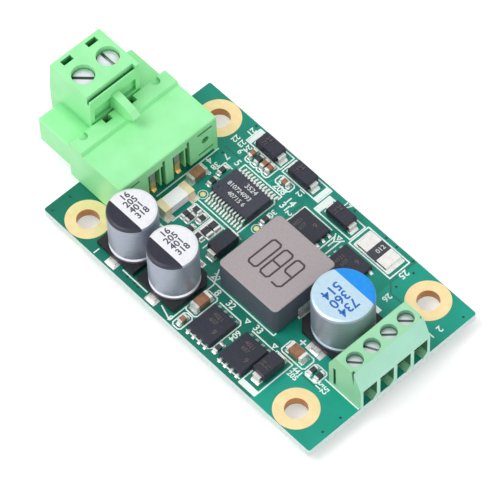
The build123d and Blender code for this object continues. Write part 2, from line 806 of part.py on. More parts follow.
# Terminal pins: a bar through each cage, on a leg that passes through the board
bar_end = small_well_x + small_cage_length / 2 - small_bar_end_gap
with BuildPart() as terminal_pins:
    for y in terminal_ys:
        block(leg_x - leg_length / 2, bar_end, y - small_bar_width / 2, y + small_bar_width / 2,
              small_bar_under, small_bar_top)
        block(leg_x - leg_length / 2, leg_x + leg_length / 2, y - leg_width / 2, y + leg_width / 2,
              tail_z, small_bar_top)
terminal_pins.part.label = "terminal_pins"
export_step(terminal_pins.part, "parts/terminal_pins.step")

# Solder cones round the tails, under the board
with BuildPart() as solder_joints:
    tails = [(pin_x, y, pin_size, pin_size) for y in pole_ys]
    tails += [(leg_x, y, leg_length, leg_width) for y in terminal_ys]
    for x, y, length, width in tails:
        with Locations((x, y, -solder_height / 2)):
            Cone(solder_radius / 2, solder_radius, solder_height)
        block(x - length / 2, x + length / 2, y - width / 2, y + width / 2, -solder_height, 0, Mode.SUBTRACT)
solder_joints.part.label = "solder_joints"
export_step(solder_joints.part, "parts/solder_joints.step")


def capacitor(node, spot, diameter, height, base_size, marked_side):
    """A can capacitor on its moulded base: can, base and tinned tabs as three pieces."""
    x, y = spot
    radius = diameter / 2
    cup_floor = seat + base_height - base_cup_depth
    rim = cup_floor + can_bead_rise + can_bead_height
    with BuildPart() as can:
        with BuildSketch(Plane.XZ.offset(-y)):
            with BuildLine():
                Polyline(
                    (x, cup_floor),
                    (x + radius - can_bead_rise, cup_floor),
                    (x + radius, cup_floor + can_bead_rise),
                    (x + radius, rim - can_bead_rise),
                    (x + radius - can_neck, rim),
                    (x + radius - can_neck, rim + can_neck_height),
                    (x + radius, rim + can_neck_height + can_neck),
                    (x + radius, seat + height - can_edge),
                    (x + radius - can_edge_step, seat + height - can_edge_step),
                    (x + radius - can_edge, seat + height),
                    (x, seat + height),
                    close=True,
                )
            make_face()
        revolve(axis=Axis((x, y, 0), (0, 0, 1)))
    can.part.label = f"{node}_can"
    export_step(can.part, f"parts/{node}_can.step")

    with BuildPart() as base:
        half = base_size / 2
        with BuildSketch(Plane((x, y, seat + tab_thickness))) as plan:
            Rectangle(base_size, base_size)
            far = plan.vertices().sort_by(Axis.Y)
            chamfer(far[2:] if marked_side < 0 else far[:2], base_chamfer)
        extrude(amount=base_height - tab_thickness)
        with BuildSketch(Plane((x, y, cup_floor))):
            Circle(radius + base_cup_clearance)
        extrude(amount=base_cup_depth, mode=Mode.SUBTRACT)
    base.part.label = f"{node}_base"
    export_step(base.part, f"parts/{node}_base.step")

    with BuildPart() as tabs:
        for side in (-1, 1):
            start = y + side * (half - tab_run)
            end = y + side * (half + tab_reach)
            block(x - tab_width / 2, x + tab_width / 2, min(start, end), max(start, end), seat, seat + tab_thickness)
    tabs.part.label = f"{node}_tabs"
    export_step(tabs.part, f"parts/{node}_tabs.step")


for number, spot in enumerate(input_can_spots, start=1):
    capacitor(f"input_capacitor_{number}", spot, input_can_diameter, input_can_height, input_base_size, -1)
capacitor("output_capacitor", output_can_spot, output_can_diameter, output_can_height, output_base_size, 1)

# Inductor: a pressed block with rounded upright corners, on two flat clips
with BuildPart() as inductor_core:
    with BuildSketch(Plane((*inductor_spot, seat + clip_thickness))):
        RectangleRounded(inductor_size, inductor_size, inductor_corner)
    extrude(amount=inductor_height - clip_thickness)
    fillet(inductor_core.faces().sort_by(Axis.Z)[-1].edges(), inductor_edge)
    chamfer(inductor_core.faces().sort_by(Axis.Z)[0].edges(), inductor_foot)
    for side in (-1, 1):
        x = inductor_spot[0] + side * inductor_size / 2
        x0, x1 = sorted((x, x - side * clip_thickness))
        block(x0, x1, inductor_spot[1] - clip_width / 2, inductor_spot[1] + clip_width / 2,
              seat + clip_thickness, seat + clip_height, Mode.SUBTRACT)
inductor_core.part.label = "inductor_core"
export_step(inductor_core.part, "parts/inductor_core.step")

with BuildPart() as inductor_terminals:
    for side in (-1, 1):
        x = inductor_spot[0] + side * inductor_size / 2
        x0, x1 = sorted((x, x - side * clip_thickness))
        block(x0, x1, inductor_spot[1] - clip_width / 2, inductor_spot[1] + clip_width / 2, seat, seat + clip_height)
        x0, x1 = sorted((x, x - side * clip_run))
        block(x0, x1, inductor_spot[1] - clip_width / 2, inductor_spot[1] + clip_width / 2,
              seat, seat + clip_thickness)
inductor_terminals.part.label = "inductor_terminals"
export_step(inductor_terminals.part, "parts/inductor_terminals.step")

# Controller: drafted body split at the leads, with the dimple of its first lead
controller_bottom = seat + controller_standoff
controller_top = seat + controller_height
lead_z = (controller_bottom + controller_top) / 2
with BuildPart() as controller_body:
    for amount in (controller_top - lead_z, controller_bottom - lead_z):
        with BuildSketch(Plane((*controller_spot, lead_z))):
            Rectangle(controller_length, controller_width)
        extrude(amount=amount, taper=controller_draft)
    dimple_x = controller_spot[0] - controller_length / 2 + 2 * controller_dimple
    dimple_y = controller_spot[1] - controller_width / 2 + 2 * controller_dimple
    with Locations((dimple_x, dimple_y, controller_top)):
        Cylinder(controller_dimple / 2, controller_dimple / 2, mode=Mode.SUBTRACT)
controller_body.part.label = "controller_body"
export_step(controller_body.part, "parts/controller_body.step")

# Gull-wing leads: out of the body, down, and flat on the pads
with BuildPart() as controller_leads:
    for side in (-1, 1):
        edge = controller_width / 2
        toe = lead_span / 2
        heel = toe - lead_foot
        for i in range(leads_per_side):
            x = controller_spot[0] + (i - (leads_per_side - 1) / 2) * lead_pitch
            points = [
                (edge, lead_z + lead_thickness / 2),
                (heel - lead_slant, lead_z + lead_thickness / 2),
                (heel - lead_slant + lead_thickness, seat + lead_thickness),
                (toe, seat + lead_thickness),
                (toe, seat),
                (heel - lead_slant, seat),
                (heel - lead_slant - lead_thickness, lead_z - lead_thickness / 2),
                (edge, lead_z - lead_thickness / 2),
            ]
            with BuildSketch(Plane((x, controller_spot[1], 0), x_dir=(0, side, 0), z_dir=(side, 0, 0))):
                with BuildLine():
                    Polyline(*points, close=True)
                make_face()
            extrude(amount=lead_width / 2, both=True)
controller_leads.part.label = "controller_leads"
export_step(controller_leads.part, "parts/controller_leads.step")

# Power transistors
for number, (x, y, turn) in enumerate(mosfet_spots, start=1):
    with BuildPart() as mosfet_body:
        with BuildSketch(placed(x, y, seat, turn)):
            Rectangle(mosfet_width, mosfet_length)
        extrude(amount=mosfet_height)
        chamfer(mosfet_body.faces().sort_by(Axis.Z)[-1].edges(), mosfet_edge)
    mosfet_body.part.label = f"mosfet_body_{number}"
    export_step(mosfet_body.part, f"parts/mosfet_body_{number}.step")

with BuildPart() as mosfet_leads:
    for x, y, turn in mosfet_spots:
        with Locations(Location((x, y, seat + mosfet_lead_thickness / 2), (0, 0, turn))):
            with GridLocations(mosfet_lead_pitch, mosfet_length + mosfet_lead_reach, 4, 2):
                Box(mosfet_lead_width, mosfet_lead_reach, mosfet_lead_thickness)
mosfet_leads.part.label = "mosfet_leads"
export_step(mosfet_leads.part, "parts/mosfet_leads.step")

# Rectifier diodes: body drafted both ways from the line where the tabs come out
diode_bottom = seat + diode_standoff + diode_tab_thickness
diode_top = seat + diode_height
diode_line = (diode_bottom + diode_top) / 2
for number, (x, y, turn) in enumerate(diode_spots, start=1):
    with BuildPart() as diode_body:
        for amount in (diode_top - diode_line, diode_bottom - diode_line):
            with BuildSketch(placed(x, y, diode_line, turn)):
                Rectangle(diode_length, diode_width)
            extrude(amount=amount, taper=diode_draft)
    diode_body.part.label = f"diode_body_{number}"
    export_step(diode_body.part, f"parts/diode_body_{number}.step")

tab_in = diode_length / 2
tab_out = tab_in + diode_tab_reach
tab_skin = tab_out - diode_tab_thickness
tab_upper = diode_line + diode_tab_thickness / 2
tab_lower = diode_line - diode_tab_thickness / 2
with BuildPart() as one_tab:
    with BuildSketch(Plane.XZ):
        with BuildLine():
            Polyline(
                (tab_in, tab_upper),
                (tab_out, tab_upper),
                (tab_out, seat),
                (tab_out - diode_tab_run, seat),
                (tab_out - diode_tab_run, seat + diode_tab_thickness),
                (tab_skin, seat + diode_tab_thickness),
                (tab_skin, tab_lower),
                (tab_in, tab_lower),
                close=True,
            )
        make_face()
    extrude(amount=diode_tab_width / 2, both=True)

with BuildPart() as diode_tabs:
    for x, y, turn in diode_spots:
        with Locations(Location((x, y, 0), (0, 0, turn)), Location((x, y, 0), (0, 0, turn + 180))):
            add(one_tab.part)
diode_tabs.part.label = "diode_tabs"
export_step(diode_tabs.part, "parts/diode_tabs.step")

# Current sense resistor: a flat element whose tinned ends wrap round it
shunt_x, shunt_y = shunt_spot
with BuildPart() as sense_resistor_body:
    block(shunt_x - shunt_length / 2 + shunt_skin, shunt_x + shunt_length / 2 - shunt_skin,
          shunt_y - shunt_width / 2, shunt_y + shunt_width / 2, seat + shunt_skin, seat + shunt_height - shunt_skin)
sense_resistor_body.part.label = "sense_resistor_body"
export_step(sense_resistor_body.part, "parts/sense_resistor_body.step")

with BuildPart() as sense_resistor_ends:
    for side in (-1, 1):
        x0, x1 = sorted((shunt_x + side * shunt_length / 2, shunt_x + side * (shunt_length / 2 - shunt_end)))
        block(x0, x1, shunt_y - shunt_width / 2, shunt_y + shunt_width / 2, seat, seat + shunt_height)
    block(shunt_x - shunt_length / 2 + shunt_skin, shunt_x + shunt_length / 2 - shunt_skin,
          shunt_y - shunt_width / 2, shunt_y + shunt_width / 2, seat + shunt_skin,
          seat + shunt_height - shunt_skin, Mode.SUBTRACT)
sense_resistor_ends.part.label = "sense_resistor_ends"
export_step(sense_resistor_ends.part, "parts/sense_resistor_ends.step")

# Fuse: ceramic tube with a metal cap at each end
fuse_x, fuse_y = fuse_spot
with BuildPart() as fuse_body:
    block(fuse_x - fuse_width / 2 + fuse_cap_skin, fuse_x + fuse_width / 2 - fuse_cap_skin,
          fuse_y - fuse_length / 2 + fuse_cap_skin, fuse_y + fuse_length / 2 - fuse_cap_skin,
          seat + fuse_cap_skin, seat + fuse_height - fuse_cap_skin)
fuse_body.part.label = "fuse_body"
export_step(fuse_body.part, "parts/fuse_body.step")

with BuildPart() as fuse_caps:
    for side in (-1, 1):
        y0, y1 = sorted((fuse_y + side * fuse_length / 2, fuse_y + side * (fuse_length / 2 - fuse_cap_length)))
        block(fuse_x - fuse_width / 2, fuse_x + fuse_width / 2, y0, y1, seat, seat + fuse_height)
    fillet(fuse_caps.edges().filter_by(Axis.Y), fuse_cap_skin)
    block(fuse_x - fuse_width / 2 + fuse_cap_skin, fuse_x + fuse_width / 2 - fuse_cap_skin,
          fuse_y - fuse_length / 2 + fuse_cap_skin, fuse_y + fuse_length / 2 - fuse_cap_skin,
          seat + fuse_cap_skin, seat + fuse_height - fuse_cap_skin, Mode.SUBTRACT)
fuse_caps.part.label = "fuse_caps"
export_step(fuse_caps.part, "parts/fuse_caps.step")

# Chip capacitors and chip resistors, with their tinned ends
ceramic_chips = [(spot, large_chip) for spot in large_ceramic_spots]
ceramic_chips += [(spot, small_ceramic) for spot in small_ceramic_spots]
resistor_chips = [(spot, small_resistor) for spot in small_resistor_spots]
resistor_chips += [(spot, medium_resistor) for spot in medium_resistor_spots]


def chip_bodies(chips):
    """The bodies of the chips between their ends, as one group of solids."""
    with BuildPart() as bodies:
        for (x, y, turn), (length, width, height, end) in chips:
            with Locations(Location((x, y, seat + height / 2), (0, 0, turn))):
                Box(length - 2 * end, width, height)
    return bodies.part


ceramic_chip_bodies = chip_bodies(ceramic_chips)
ceramic_chip_bodies.label = "ceramic_chip_bodies"
export_step(ceramic_chip_bodies, "parts/ceramic_chip_bodies.step")

resistor_chip_bodies = chip_bodies(resistor_chips)
resistor_chip_bodies.label = "resistor_chip_bodies"
export_step(resistor_chip_bodies, "parts/resistor_chip_bodies.step")

with BuildPart() as chip_ends:
    for (x, y, turn), (length, width, height, end) in ceramic_chips + resistor_chips:
        with Locations(Location((x, y, seat + height / 2), (0, 0, turn))):
            with GridLocations(length - end, 0, 2, 1):
                Box(end, width, height)
chip_ends.part.label = "chip_ends"
export_step(chip_ends.part, "parts/chip_ends.step")

# Tinned pads under every part that is soldered to the top face
with BuildPart() as solder_pads:
    with BuildSketch(Plane.XY.offset(board_top)):
        for (x, y, turn), (length, width, height, end) in ceramic_chips + resistor_chips:
            with Locations(Location((x, y, 0), (0, 0, turn))):
                with GridLocations(length - end + pad_toe, 0, 2, 1):
                    Rectangle(end + pad_toe, width + pad_margin)
        for spot, base_size, pad_width in [
            (input_can_spots[0], input_base_size, 2 * tab_width),
            (input_can_spots[1], input_base_size, 2 * tab_width),
            (output_can_spot, output_base_size, 3 * tab_width),
        ]:
            reach = tab_run + tab_reach + can_pad_toe
            with Locations(spot):
                with GridLocations(0, base_size - 2 * tab_run + reach, 1, 2):
                    Rectangle(pad_width, reach)
        with Locations(inductor_spot):
            with GridLocations(inductor_size - clip_run + pad_toe, 0, 2, 1):
                Rectangle(clip_run + pad_toe, clip_width + 2 * pad_margin)
        with Locations(controller_spot):
            with GridLocations(lead_pitch, lead_span - lead_foot + pad_toe, leads_per_side, 2):
                Rectangle(lead_width + pad_margin / 2, lead_foot + pad_toe)
        for x, y, turn in mosfet_spots:
            with Locations(Location((x, y, 0), (0, 0, turn))):
                with GridLocations(mosfet_lead_pitch, mosfet_length + pad_toe, 4, 2):
                    Rectangle(mosfet_lead_width + pad_margin, mosfet_lead_reach + 2 * pad_toe)
        for x, y, turn in diode_spots:
            with Locations(Location((x, y, 0), (0, 0, turn))):
                with GridLocations(diode_length + 2 * diode_tab_reach - diode_tab_run + pad_toe, 0, 2, 1):
                    Rectangle(diode_tab_run + pad_toe, diode_tab_width + 2 * pad_margin)
        with Locations(shunt_spot):
            with GridLocations(shunt_length - shunt_end + 2 * pad_toe, 0, 2, 1):
                Rectangle(shunt_end + 2 * pad_toe, shunt_width + pad_margin)
        with Locations(fuse_spot):
            with GridLocations(0, fuse_length - fuse_cap_length + pad_toe, 1, 2):
                Rectangle(fuse_pad_width, fuse_cap_length + pad_toe)
    extrude(amount=copper)
solder_pads.part.label = "solder_pads"
export_step(solder_pads.part, "parts/solder_pads.step")
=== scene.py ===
"""Looks of the buck-boost converter module: finishes, printed marks, solder, tracks, lamps and camera."""

import math

import bpy
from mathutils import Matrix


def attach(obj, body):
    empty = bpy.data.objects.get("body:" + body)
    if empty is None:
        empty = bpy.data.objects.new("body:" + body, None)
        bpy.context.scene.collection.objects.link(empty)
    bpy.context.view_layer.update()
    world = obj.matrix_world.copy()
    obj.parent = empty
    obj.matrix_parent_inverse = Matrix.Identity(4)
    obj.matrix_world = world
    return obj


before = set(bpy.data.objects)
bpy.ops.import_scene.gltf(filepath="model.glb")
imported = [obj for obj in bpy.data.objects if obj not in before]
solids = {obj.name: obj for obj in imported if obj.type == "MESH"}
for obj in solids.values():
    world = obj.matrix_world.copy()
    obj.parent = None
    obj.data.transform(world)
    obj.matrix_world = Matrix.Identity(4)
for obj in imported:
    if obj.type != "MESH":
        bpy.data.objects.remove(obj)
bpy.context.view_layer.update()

# Lengths are in millimetres from here on, and MM turns them into metres.
MM = 0.001

# Levels above the board's underside. Solder starts a little way inside the pads.
BOARD_TOP = 1.6
PAD_TOP = 1.65
SOLDER_FOOT = PAD_TOP - 0.02
FLOOR_LEVEL = -1.92

# Printed marks are PRINT thick, tracks and gaps under the mask are FILM thick
PRINT = 0.012
FILM = 0.004
VIA_HEIGHT = 0.014

# Middle planes of the marks on the board, on the lids and on the packages
BOARD_PRINT = BOARD_TOP + PRINT / 2
LOWER_PRINT = -PRINT / 2
BOARD_FILM = BOARD_TOP + 0.001
LOWER_FILM = -0.001
INPUT_LID_PRINT = 11.6 + PRINT / 2
OUTPUT_LID_PRINT = 11.3 + PRINT / 2
INDUCTOR_PRINT = 7.75 + PRINT / 2
CONTROLLER_PRINT = 3.5 + PRINT / 2
TRANSISTOR_PRINT = 2.65 + PRINT / 2
DIODE_PRINT = 3.95 + PRINT / 2
SHUNT_PRINT = 2.306 + PRINT / 2

# Centres of the parts, with the turn in degrees as a third number
FIRST_CAN = (-14.9, -11.7, 90)
SECOND_CAN = (-5.75, -11.7, 90)
OUTPUT_CAN = (18.25, 1.0, 90)
CONTROLLER = (-9.8, 5.9, 0)
FUSE = (-16.4, -2.0, 90)
SHUNT = (12.05, 14.45, 0)
INDUCTOR = (5.6, -0.78, 0)

# Places with no turn
HEADER_PINS = [(-21.15, 2.34), (-21.15, -2.74)]
TEST_PADS = [(-14.65, 2.2), (-4.2, 3.85)]

# Pitch of the leads, and how far from the middle of the part the solder starts
TRANSISTOR_PITCH = 1.27
TRANSISTOR_REACH = 3.175
CONTROLLER_PITCH = 0.65
CONTROLLER_REACH = 3.95
PIN_REACH = 0.45

# The span of the noise that is spread over both tones, the swing of the roughness with it, and bump depths
NOISE_SPAN = (0.3, 0.7)
ROUGHNESS_SWING = 0.06
BUMP_DEPTH = 0.1
WEAVE_DEPTH = 0.05

# How far other surfaces reach for the painted shade in the hollows of the plastic, and in the wells of the
# screws
HOLLOW_SHADE_REACH = 3.5
WELL_SHADE_REACH = 2.0

# The extra points of a ribbon: their distance from its corner, and the most of a stroke that they take
EASE = 0.12
EASE_SHARE = 0.4

# Vertices within this distance of a plane are on it
NEAR = 0.01


def linear(red, green, blue):
    """A screen colour from 0 to 255 as the shader's own numbers."""
    steps = []
    for value in (red, green, blue):
        share = value / 255
        steps.append(share / 12.92 if share <= 0.04045 else ((share + 0.055) / 1.055) ** 2.4)
    return (*steps, 1.0)


# Finishes: each one mixes its tones by noise on the piece's own coordinates
def start_finish(name, roughness, metallic=0.0):
    """A new material, its node tree and its main shader."""
    finish = bpy.data.materials.new(name)
    finish.use_nodes = True
    tree = finish.node_tree
    shader = tree.nodes["Principled BSDF"]
    shader.inputs["Roughness"].default_value = roughness
    shader.inputs["Metallic"].default_value = metallic
    return finish, tree, shader


def coordinates(tree, kind="Object"):
    """The piece's own coordinates, or its normal, as one socket."""
    return tree.nodes.new("ShaderNodeTexCoord").outputs[kind]


def grain(tree, scale, detail=3.0, stretch=(1, 1, 1)):
    """Noise from 0 to 1 with about that many cells to the metre."""
    mapping = tree.nodes.new("ShaderNodeMapping")
    mapping.inputs["Scale"].default_value = stretch
    tree.links.new(coordinates(tree), mapping.inputs["Vector"])
    noise = tree.nodes.new("ShaderNodeTexNoise")
    noise.inputs["Scale"].default_value = scale
    noise.inputs["Detail"].default_value = detail
    tree.links.new(mapping.outputs["Vector"], noise.inputs["Vector"])
    return noise.outputs["Fac"]


def spread(tree, value, low, high, to_low=0.0, to_high=1.0):
    """The value stretched from one span to another and held at its ends."""
    node = tree.nodes.new("ShaderNodeMapRange")
    node.inputs["From Min"].default_value = low
    node.inputs["From Max"].default_value = high
    node.inputs["To Min"].default_value = to_low
    node.inputs["To Max"].default_value = to_high
    tree.links.new(value, node.inputs["Value"])
    return node.outputs["Result"]


def count(tree, operation, first, second=0.0):
    """A sum done by a node: each term is a socket or a number."""
    node = tree.nodes.new("ShaderNodeMath")
    node.operation = operation
    for slot, term in zip(node.inputs, (first, second)):
        if isinstance(term, (int, float)):
            slot.default_value = term
        else:
            tree.links.new(term, slot)
    return node.outputs[0]


def tones(tree, share, first, second):
    """Two colours mixed by a share: each is a colour or a socket."""
    node = tree.nodes.new("ShaderNodeMix")
    node.data_type = "RGBA"
    tree.links.new(share, node.inputs["Factor"])
    for slot, colour in zip((node.inputs[6], node.inputs[7]), (first, second)):
        if isinstance(colour, tuple):
            slot.default_value = colour
        else:
            tree.links.new(colour, slot)
    return node.outputs[2]


def blend(tree, share, dark, light):
    """Two screen colours mixed by a share."""
    return tones(tree, share, linear(*dark), linear(*light))


def parted(tree, kind="Object"):
    """The same as three sockets. Coordinates are in metres."""
    apart = tree.nodes.new("ShaderNodeSeparateXYZ")
    tree.links.new(coordinates(tree, kind), apart.inputs[0])
    return apart.outputs


def facing_up(tree, low=0.5, high=0.7):
    """1 on faces that look up or down, 0 on the sides."""
    return spread(tree, count(tree, "ABSOLUTE", parted(tree, "Normal")["Z"]), low, high)


def seen_directly(tree):
    """1 to the camera, in reflections and through clear things, 0 to the light that falls on the part."""
    path = tree.nodes.new("ShaderNodeLightPath")
    seen = count(tree, "MAXIMUM", path.outputs["Is Camera Ray"], path.outputs["Is Glossy Ray"])
    return count(tree, "MAXIMUM", seen, path.outputs["Is Transmission Ray"])


def open_air(tree, reach, alone=True):
    """1 where the surface is open, less in hollows. When it isn't alone, other pieces close it too."""
    node = tree.nodes.new("ShaderNodeAmbientOcclusion")
    node.only_local = alone
    node.inputs["Distance"].default_value = reach * MM
    return node.outputs["AO"]


def uneven(tree, shader, height, strength, depth):
    """Small bumps by the height socket."""
    bump = tree.nodes.new("ShaderNodeBump")
    bump.inputs["Strength"].default_value = strength
    bump.inputs["Distance"].default_value = depth * MM
    tree.links.new(height, bump.inputs["Height"])
    tree.links.new(bump.outputs["Normal"], shader.inputs["Normal"])


def mottle(tree, scale, detail=3.0):
    """Noise from 0 to 1 with more of both ends."""
    return spread(tree, grain(tree, scale, detail), *NOISE_SPAN)


def grained(name, dark, light, scale, roughness, metallic=0.0, bump=0.0, sides=None):
    """A finish of two close tones with a little unevenness. The sides may have two tones of their own."""
    finish, tree, shader = start_finish(name, roughness, metallic)
    noise = grain(tree, scale)
    share = spread(tree, noise, *NOISE_SPAN)
    colour = blend(tree, share, dark, light)
    if sides:
        colour = tones(tree, facing_up(tree), blend(tree, share, *sides), colour)
    tree.links.new(colour, shader.inputs["Base Color"])
    swing = spread(tree, share, 0, 1, roughness - ROUGHNESS_SWING, roughness + ROUGHNESS_SWING)
    tree.links.new(swing, shader.inputs["Roughness"])
    if bump:
        uneven(tree, shader, noise, bump, BUMP_DEPTH)
    return finish


def can_finish(name, middle, side, chord, paint, top):
    """Brushed aluminium, painted on the lid beyond a chord: side is 1 for +Y of the middle, -1 for -Y."""
    bare_metallic, paint_takes, lid_zone = 0.6, 0.55, 9.0
    finish, tree, shader = start_finish(name, 0.42, bare_metallic)
    brushed = grain(tree, 900, 4, (1, 1, 12))
    flat = mottle(tree, 1500, 2)
    # Painted light: the lid is given a far lighter tone than the walls of the same aluminium
    wall = blend(tree, spread(tree, brushed, *NOISE_SPAN), (158, 164, 178), (178, 183, 197))
    lid = blend(tree, flat, [tone - 8 for tone in top], top)
    bare = tones(tree, facing_up(tree, 0.45, 0.6), wall, lid)
    inked = blend(tree, flat, [max(tone - 10, 0) for tone in paint], paint)
    place = parted(tree)
    beyond = count(tree, "MULTIPLY", count(tree, "SUBTRACT", place["Y"], middle * MM), side)
    sector = count(tree, "GREATER_THAN", beyond, chord * MM)
    over = count(tree, "MULTIPLY", sector, facing_up(tree, 0.3, 0.4))
    over = count(tree, "MULTIPLY", over, count(tree, "GREATER_THAN", place["Z"], lid_zone * MM))
    tree.links.new(tones(tree, over, bare, inked), shader.inputs["Base Color"])
    tree.links.new(count(tree, "SUBTRACT", bare_metallic, count(tree, "MULTIPLY", over, paint_takes)),
                   shader.inputs["Metallic"])
    uneven(tree, shader, brushed, 0.03, BUMP_DEPTH)
    return finish


def mask_finish():
    """Green solder mask with painted shade on a strip below y = -7.6 and painted light on the end past x =
    17.3, both on the top face only. The cut edges are pale fibre.
    """
    finish, tree, shader = start_finish("green_solder_mask", 0.42)
    shader.inputs["Specular IOR Level"].default_value = 0.35
    x, y, z = parted(tree)
    weave = grain(tree, 2600, 2)
    cloud = mottle(tree, 160)
    # The first tone is painted shade on the strip among the cans, the third is painted light on the end past
    # x = 17.3
    shade_tone = blend(tree, cloud, (2, 112, 92), (10, 124, 104))
    middle = blend(tree, cloud, (6, 132, 112), (16, 144, 124))
    light = blend(tree, cloud, (10, 150, 128), (22, 162, 140))
    clear_of_strip_shade = spread(tree, y, -7.7 * MM, -7.5 * MM)
    painted_lit_end = spread(tree, x, 17.2 * MM, 17.4 * MM)
    upper_half = spread(tree, z, 0.7 * MM, 0.9 * MM)
    mask = tones(tree, painted_lit_end, tones(tree, clear_of_strip_shade, shade_tone, middle), light)
    mask = tones(tree, upper_half, middle, mask)
    fibre = blend(tree, spread(tree, weave, *NOISE_SPAN), (210, 226, 222), (230, 242, 238))
    tree.links.new(tones(tree, facing_up(tree), fibre, mask), shader.inputs["Base Color"])
    tree.links.new(spread(tree, cloud, 0, 1, 0.36, 0.48), shader.inputs["Roughness"])
    uneven(tree, shader, weave, 0.05, WEAVE_DEPTH)
    return finish


def shaded_in_hollows(tree, plain, shade_tone):
    """The plain colour, going to a painted shade tone in hollows."""
    return tones(tree, spread(tree, open_air(tree, HOLLOW_SHADE_REACH), 0.1, 0.8), linear(*shade_tone), plain)


def mint_finish():
    """Mint plastic of the pluggable connector, with painted shade in its hollows."""
    finish, tree, shader = start_finish("mint_plug_plastic", 0.40)
    mint = blend(tree, mottle(tree, 260), (154, 240, 166), (166, 248, 178))
    tree.links.new(shaded_in_hollows(tree, mint, (62, 166, 98)), shader.inputs["Base Color"])
    return finish


def screw_finish():
    """Plated steel of the screw heads, with painted shade towards the walls of their wells."""
    finish, tree, shader = start_finish("plated_screw_steel", 0.30, 0.75)
    bright = blend(tree, mottle(tree, 500), (222, 228, 232), (238, 242, 246))
    well_shade_factor = spread(tree, open_air(tree, WELL_SHADE_REACH, alone=False), 0.25, 0.8)
    # The greenish grey is painted shade where the well's walls and other pieces close in
    tree.links.new(tones(tree, well_shade_factor, linear(150, 164, 158), bright), shader.inputs["Base Color"])
    return finish


def pin_finish():
    """Grey tin at the top of the pins, gold from the bays down to the board."""
    finish, tree, shader = start_finish("pin_metal", 0.30, 0.35)
    noise = mottle(tree, 900)
    tin = blend(tree, noise, (176, 176, 170), (202, 202, 196))
    gold = blend(tree, noise, (252, 214, 130), (255, 236, 168))
    rise = spread(tree, parted(tree)["Z"], 3.4 * MM, 4.0 * MM)
    tree.links.new(tones(tree, rise, gold, tin), shader.inputs["Base Color"])
    return finish


def terminal_finish():
    """Sage plastic, with a painted cool reflection on faces that look along +X, painted shade in the wire
    mouths but for faces that look up, and painted shade in its hollows.
    """
    finish, tree, shader = start_finish("sage_terminal_plastic", 0.42)
    noise = mottle(tree, 260)
    sage = blend(tree, noise, (150, 214, 168), (164, 225, 182))
    # A cooler, lighter tone on faces that look along +X is a painted reflection
    painted_reflection = blend(tree, noise, (173, 232, 205), (185, 240, 215))
    normal = parted(tree, "Normal")
    plain = tones(tree, spread(tree, normal["X"], 0.6, 0.8), sage, painted_reflection)
    x, y, z = parted(tree)
    # Painted shade in the wire mouths: inside this box, faces that don't look up go dark green
    mouth_box = (("GREATER_THAN", x, 24.0), ("LESS_THAN", x, 30.36), ("GREATER_THAN", y, -6.9),
                 ("LESS_THAN", y, 7.3), ("LESS_THAN", z, 6.22))
    mouth = count(tree, "LESS_THAN", normal["Z"], 0.2)
    for limit, side, value in mouth_box:
        mouth = count(tree, "MULTIPLY", mouth, count(tree, limit, side, value * MM))
    painted_mouth_shade = tones(tree, mouth, plain, linear(74, 128, 92))
    tree.links.new(shaded_in_hollows(tree, painted_mouth_shade, (58, 132, 92)), shader.inputs["Base Color"])
    return finish


# Each plain finish: name, its two screen tones, scale of the noise, roughness, metallic share
green_mask = mask_finish()
# The side tones, browner and darker, are painted shade on the walls inside the holes
gold_ring = grained("gold_on_rings", (250, 222, 164), (255, 232, 178), 900, 0.38, 0.3,
                    sides=((190, 124, 66), (214, 150, 88)))
gold_pad = grained("gold_on_pads", (248, 230, 158), (255, 242, 176), 1400, 0.40, 0.2)
pin_gold = grained("gold_at_pin_feet", (232, 182, 96), (252, 214, 136), 900, 0.22, 0.5)
mint_plastic = mint_finish()
sage_plastic = terminal_finish()
bright_tin = grained("bright_tin", (232, 231, 228), (246, 244, 240), 900, 0.30, 0.55)
soft_solder = grained("soft_solder", (224, 224, 222), (244, 243, 240), 900, 0.30, 0.7, bump=0.08)
screw_steel = screw_finish()
cage_steel = grained("plated_cage_steel", (178, 180, 182), (204, 205, 206), 700, 0.34, 0.85)
pin_metal = pin_finish()
insert_metal = grained("insert_brass", (186, 156, 84), (214, 184, 106), 1200, 0.32, 0.9)
base_plastic = grained("black_base_plastic", (10, 10, 17), (22, 22, 31), 1500, 0.60, bump=0.06)
slate_plastic = grained("slate_package", (46, 48, 62), (60, 61, 76), 1800, 0.52, bump=0.08)
dark_plastic = grained("dark_package", (27, 30, 44), (41, 43, 58), 1800, 0.55, bump=0.08)
core_powder = grained("pressed_powder", (162, 153, 155), (174, 165, 167), 3600, 0.62, 0.1, bump=0.15,
                      sides=((70, 80, 90), (84, 93, 103)))
white_ceramic = grained("white_fuse_ceramic", (250, 250, 250), (255, 255, 255), 700, 0.40)
cap_gold = grained("cream_gold_caps", (242, 222, 176), (254, 238, 198), 900, 0.36, 0.25)
brown_ceramic = grained("brown_chip_ceramic", (142, 96, 70), (172, 122, 92), 1600, 0.45, bump=0.08)
film_black = grained("black_resistor_film", (44, 45, 54), (66, 67, 78), 1600, 0.40, bump=0.05)
white_print = grained("white_board_print", (230, 248, 242), (246, 254, 250), 900, 0.60)
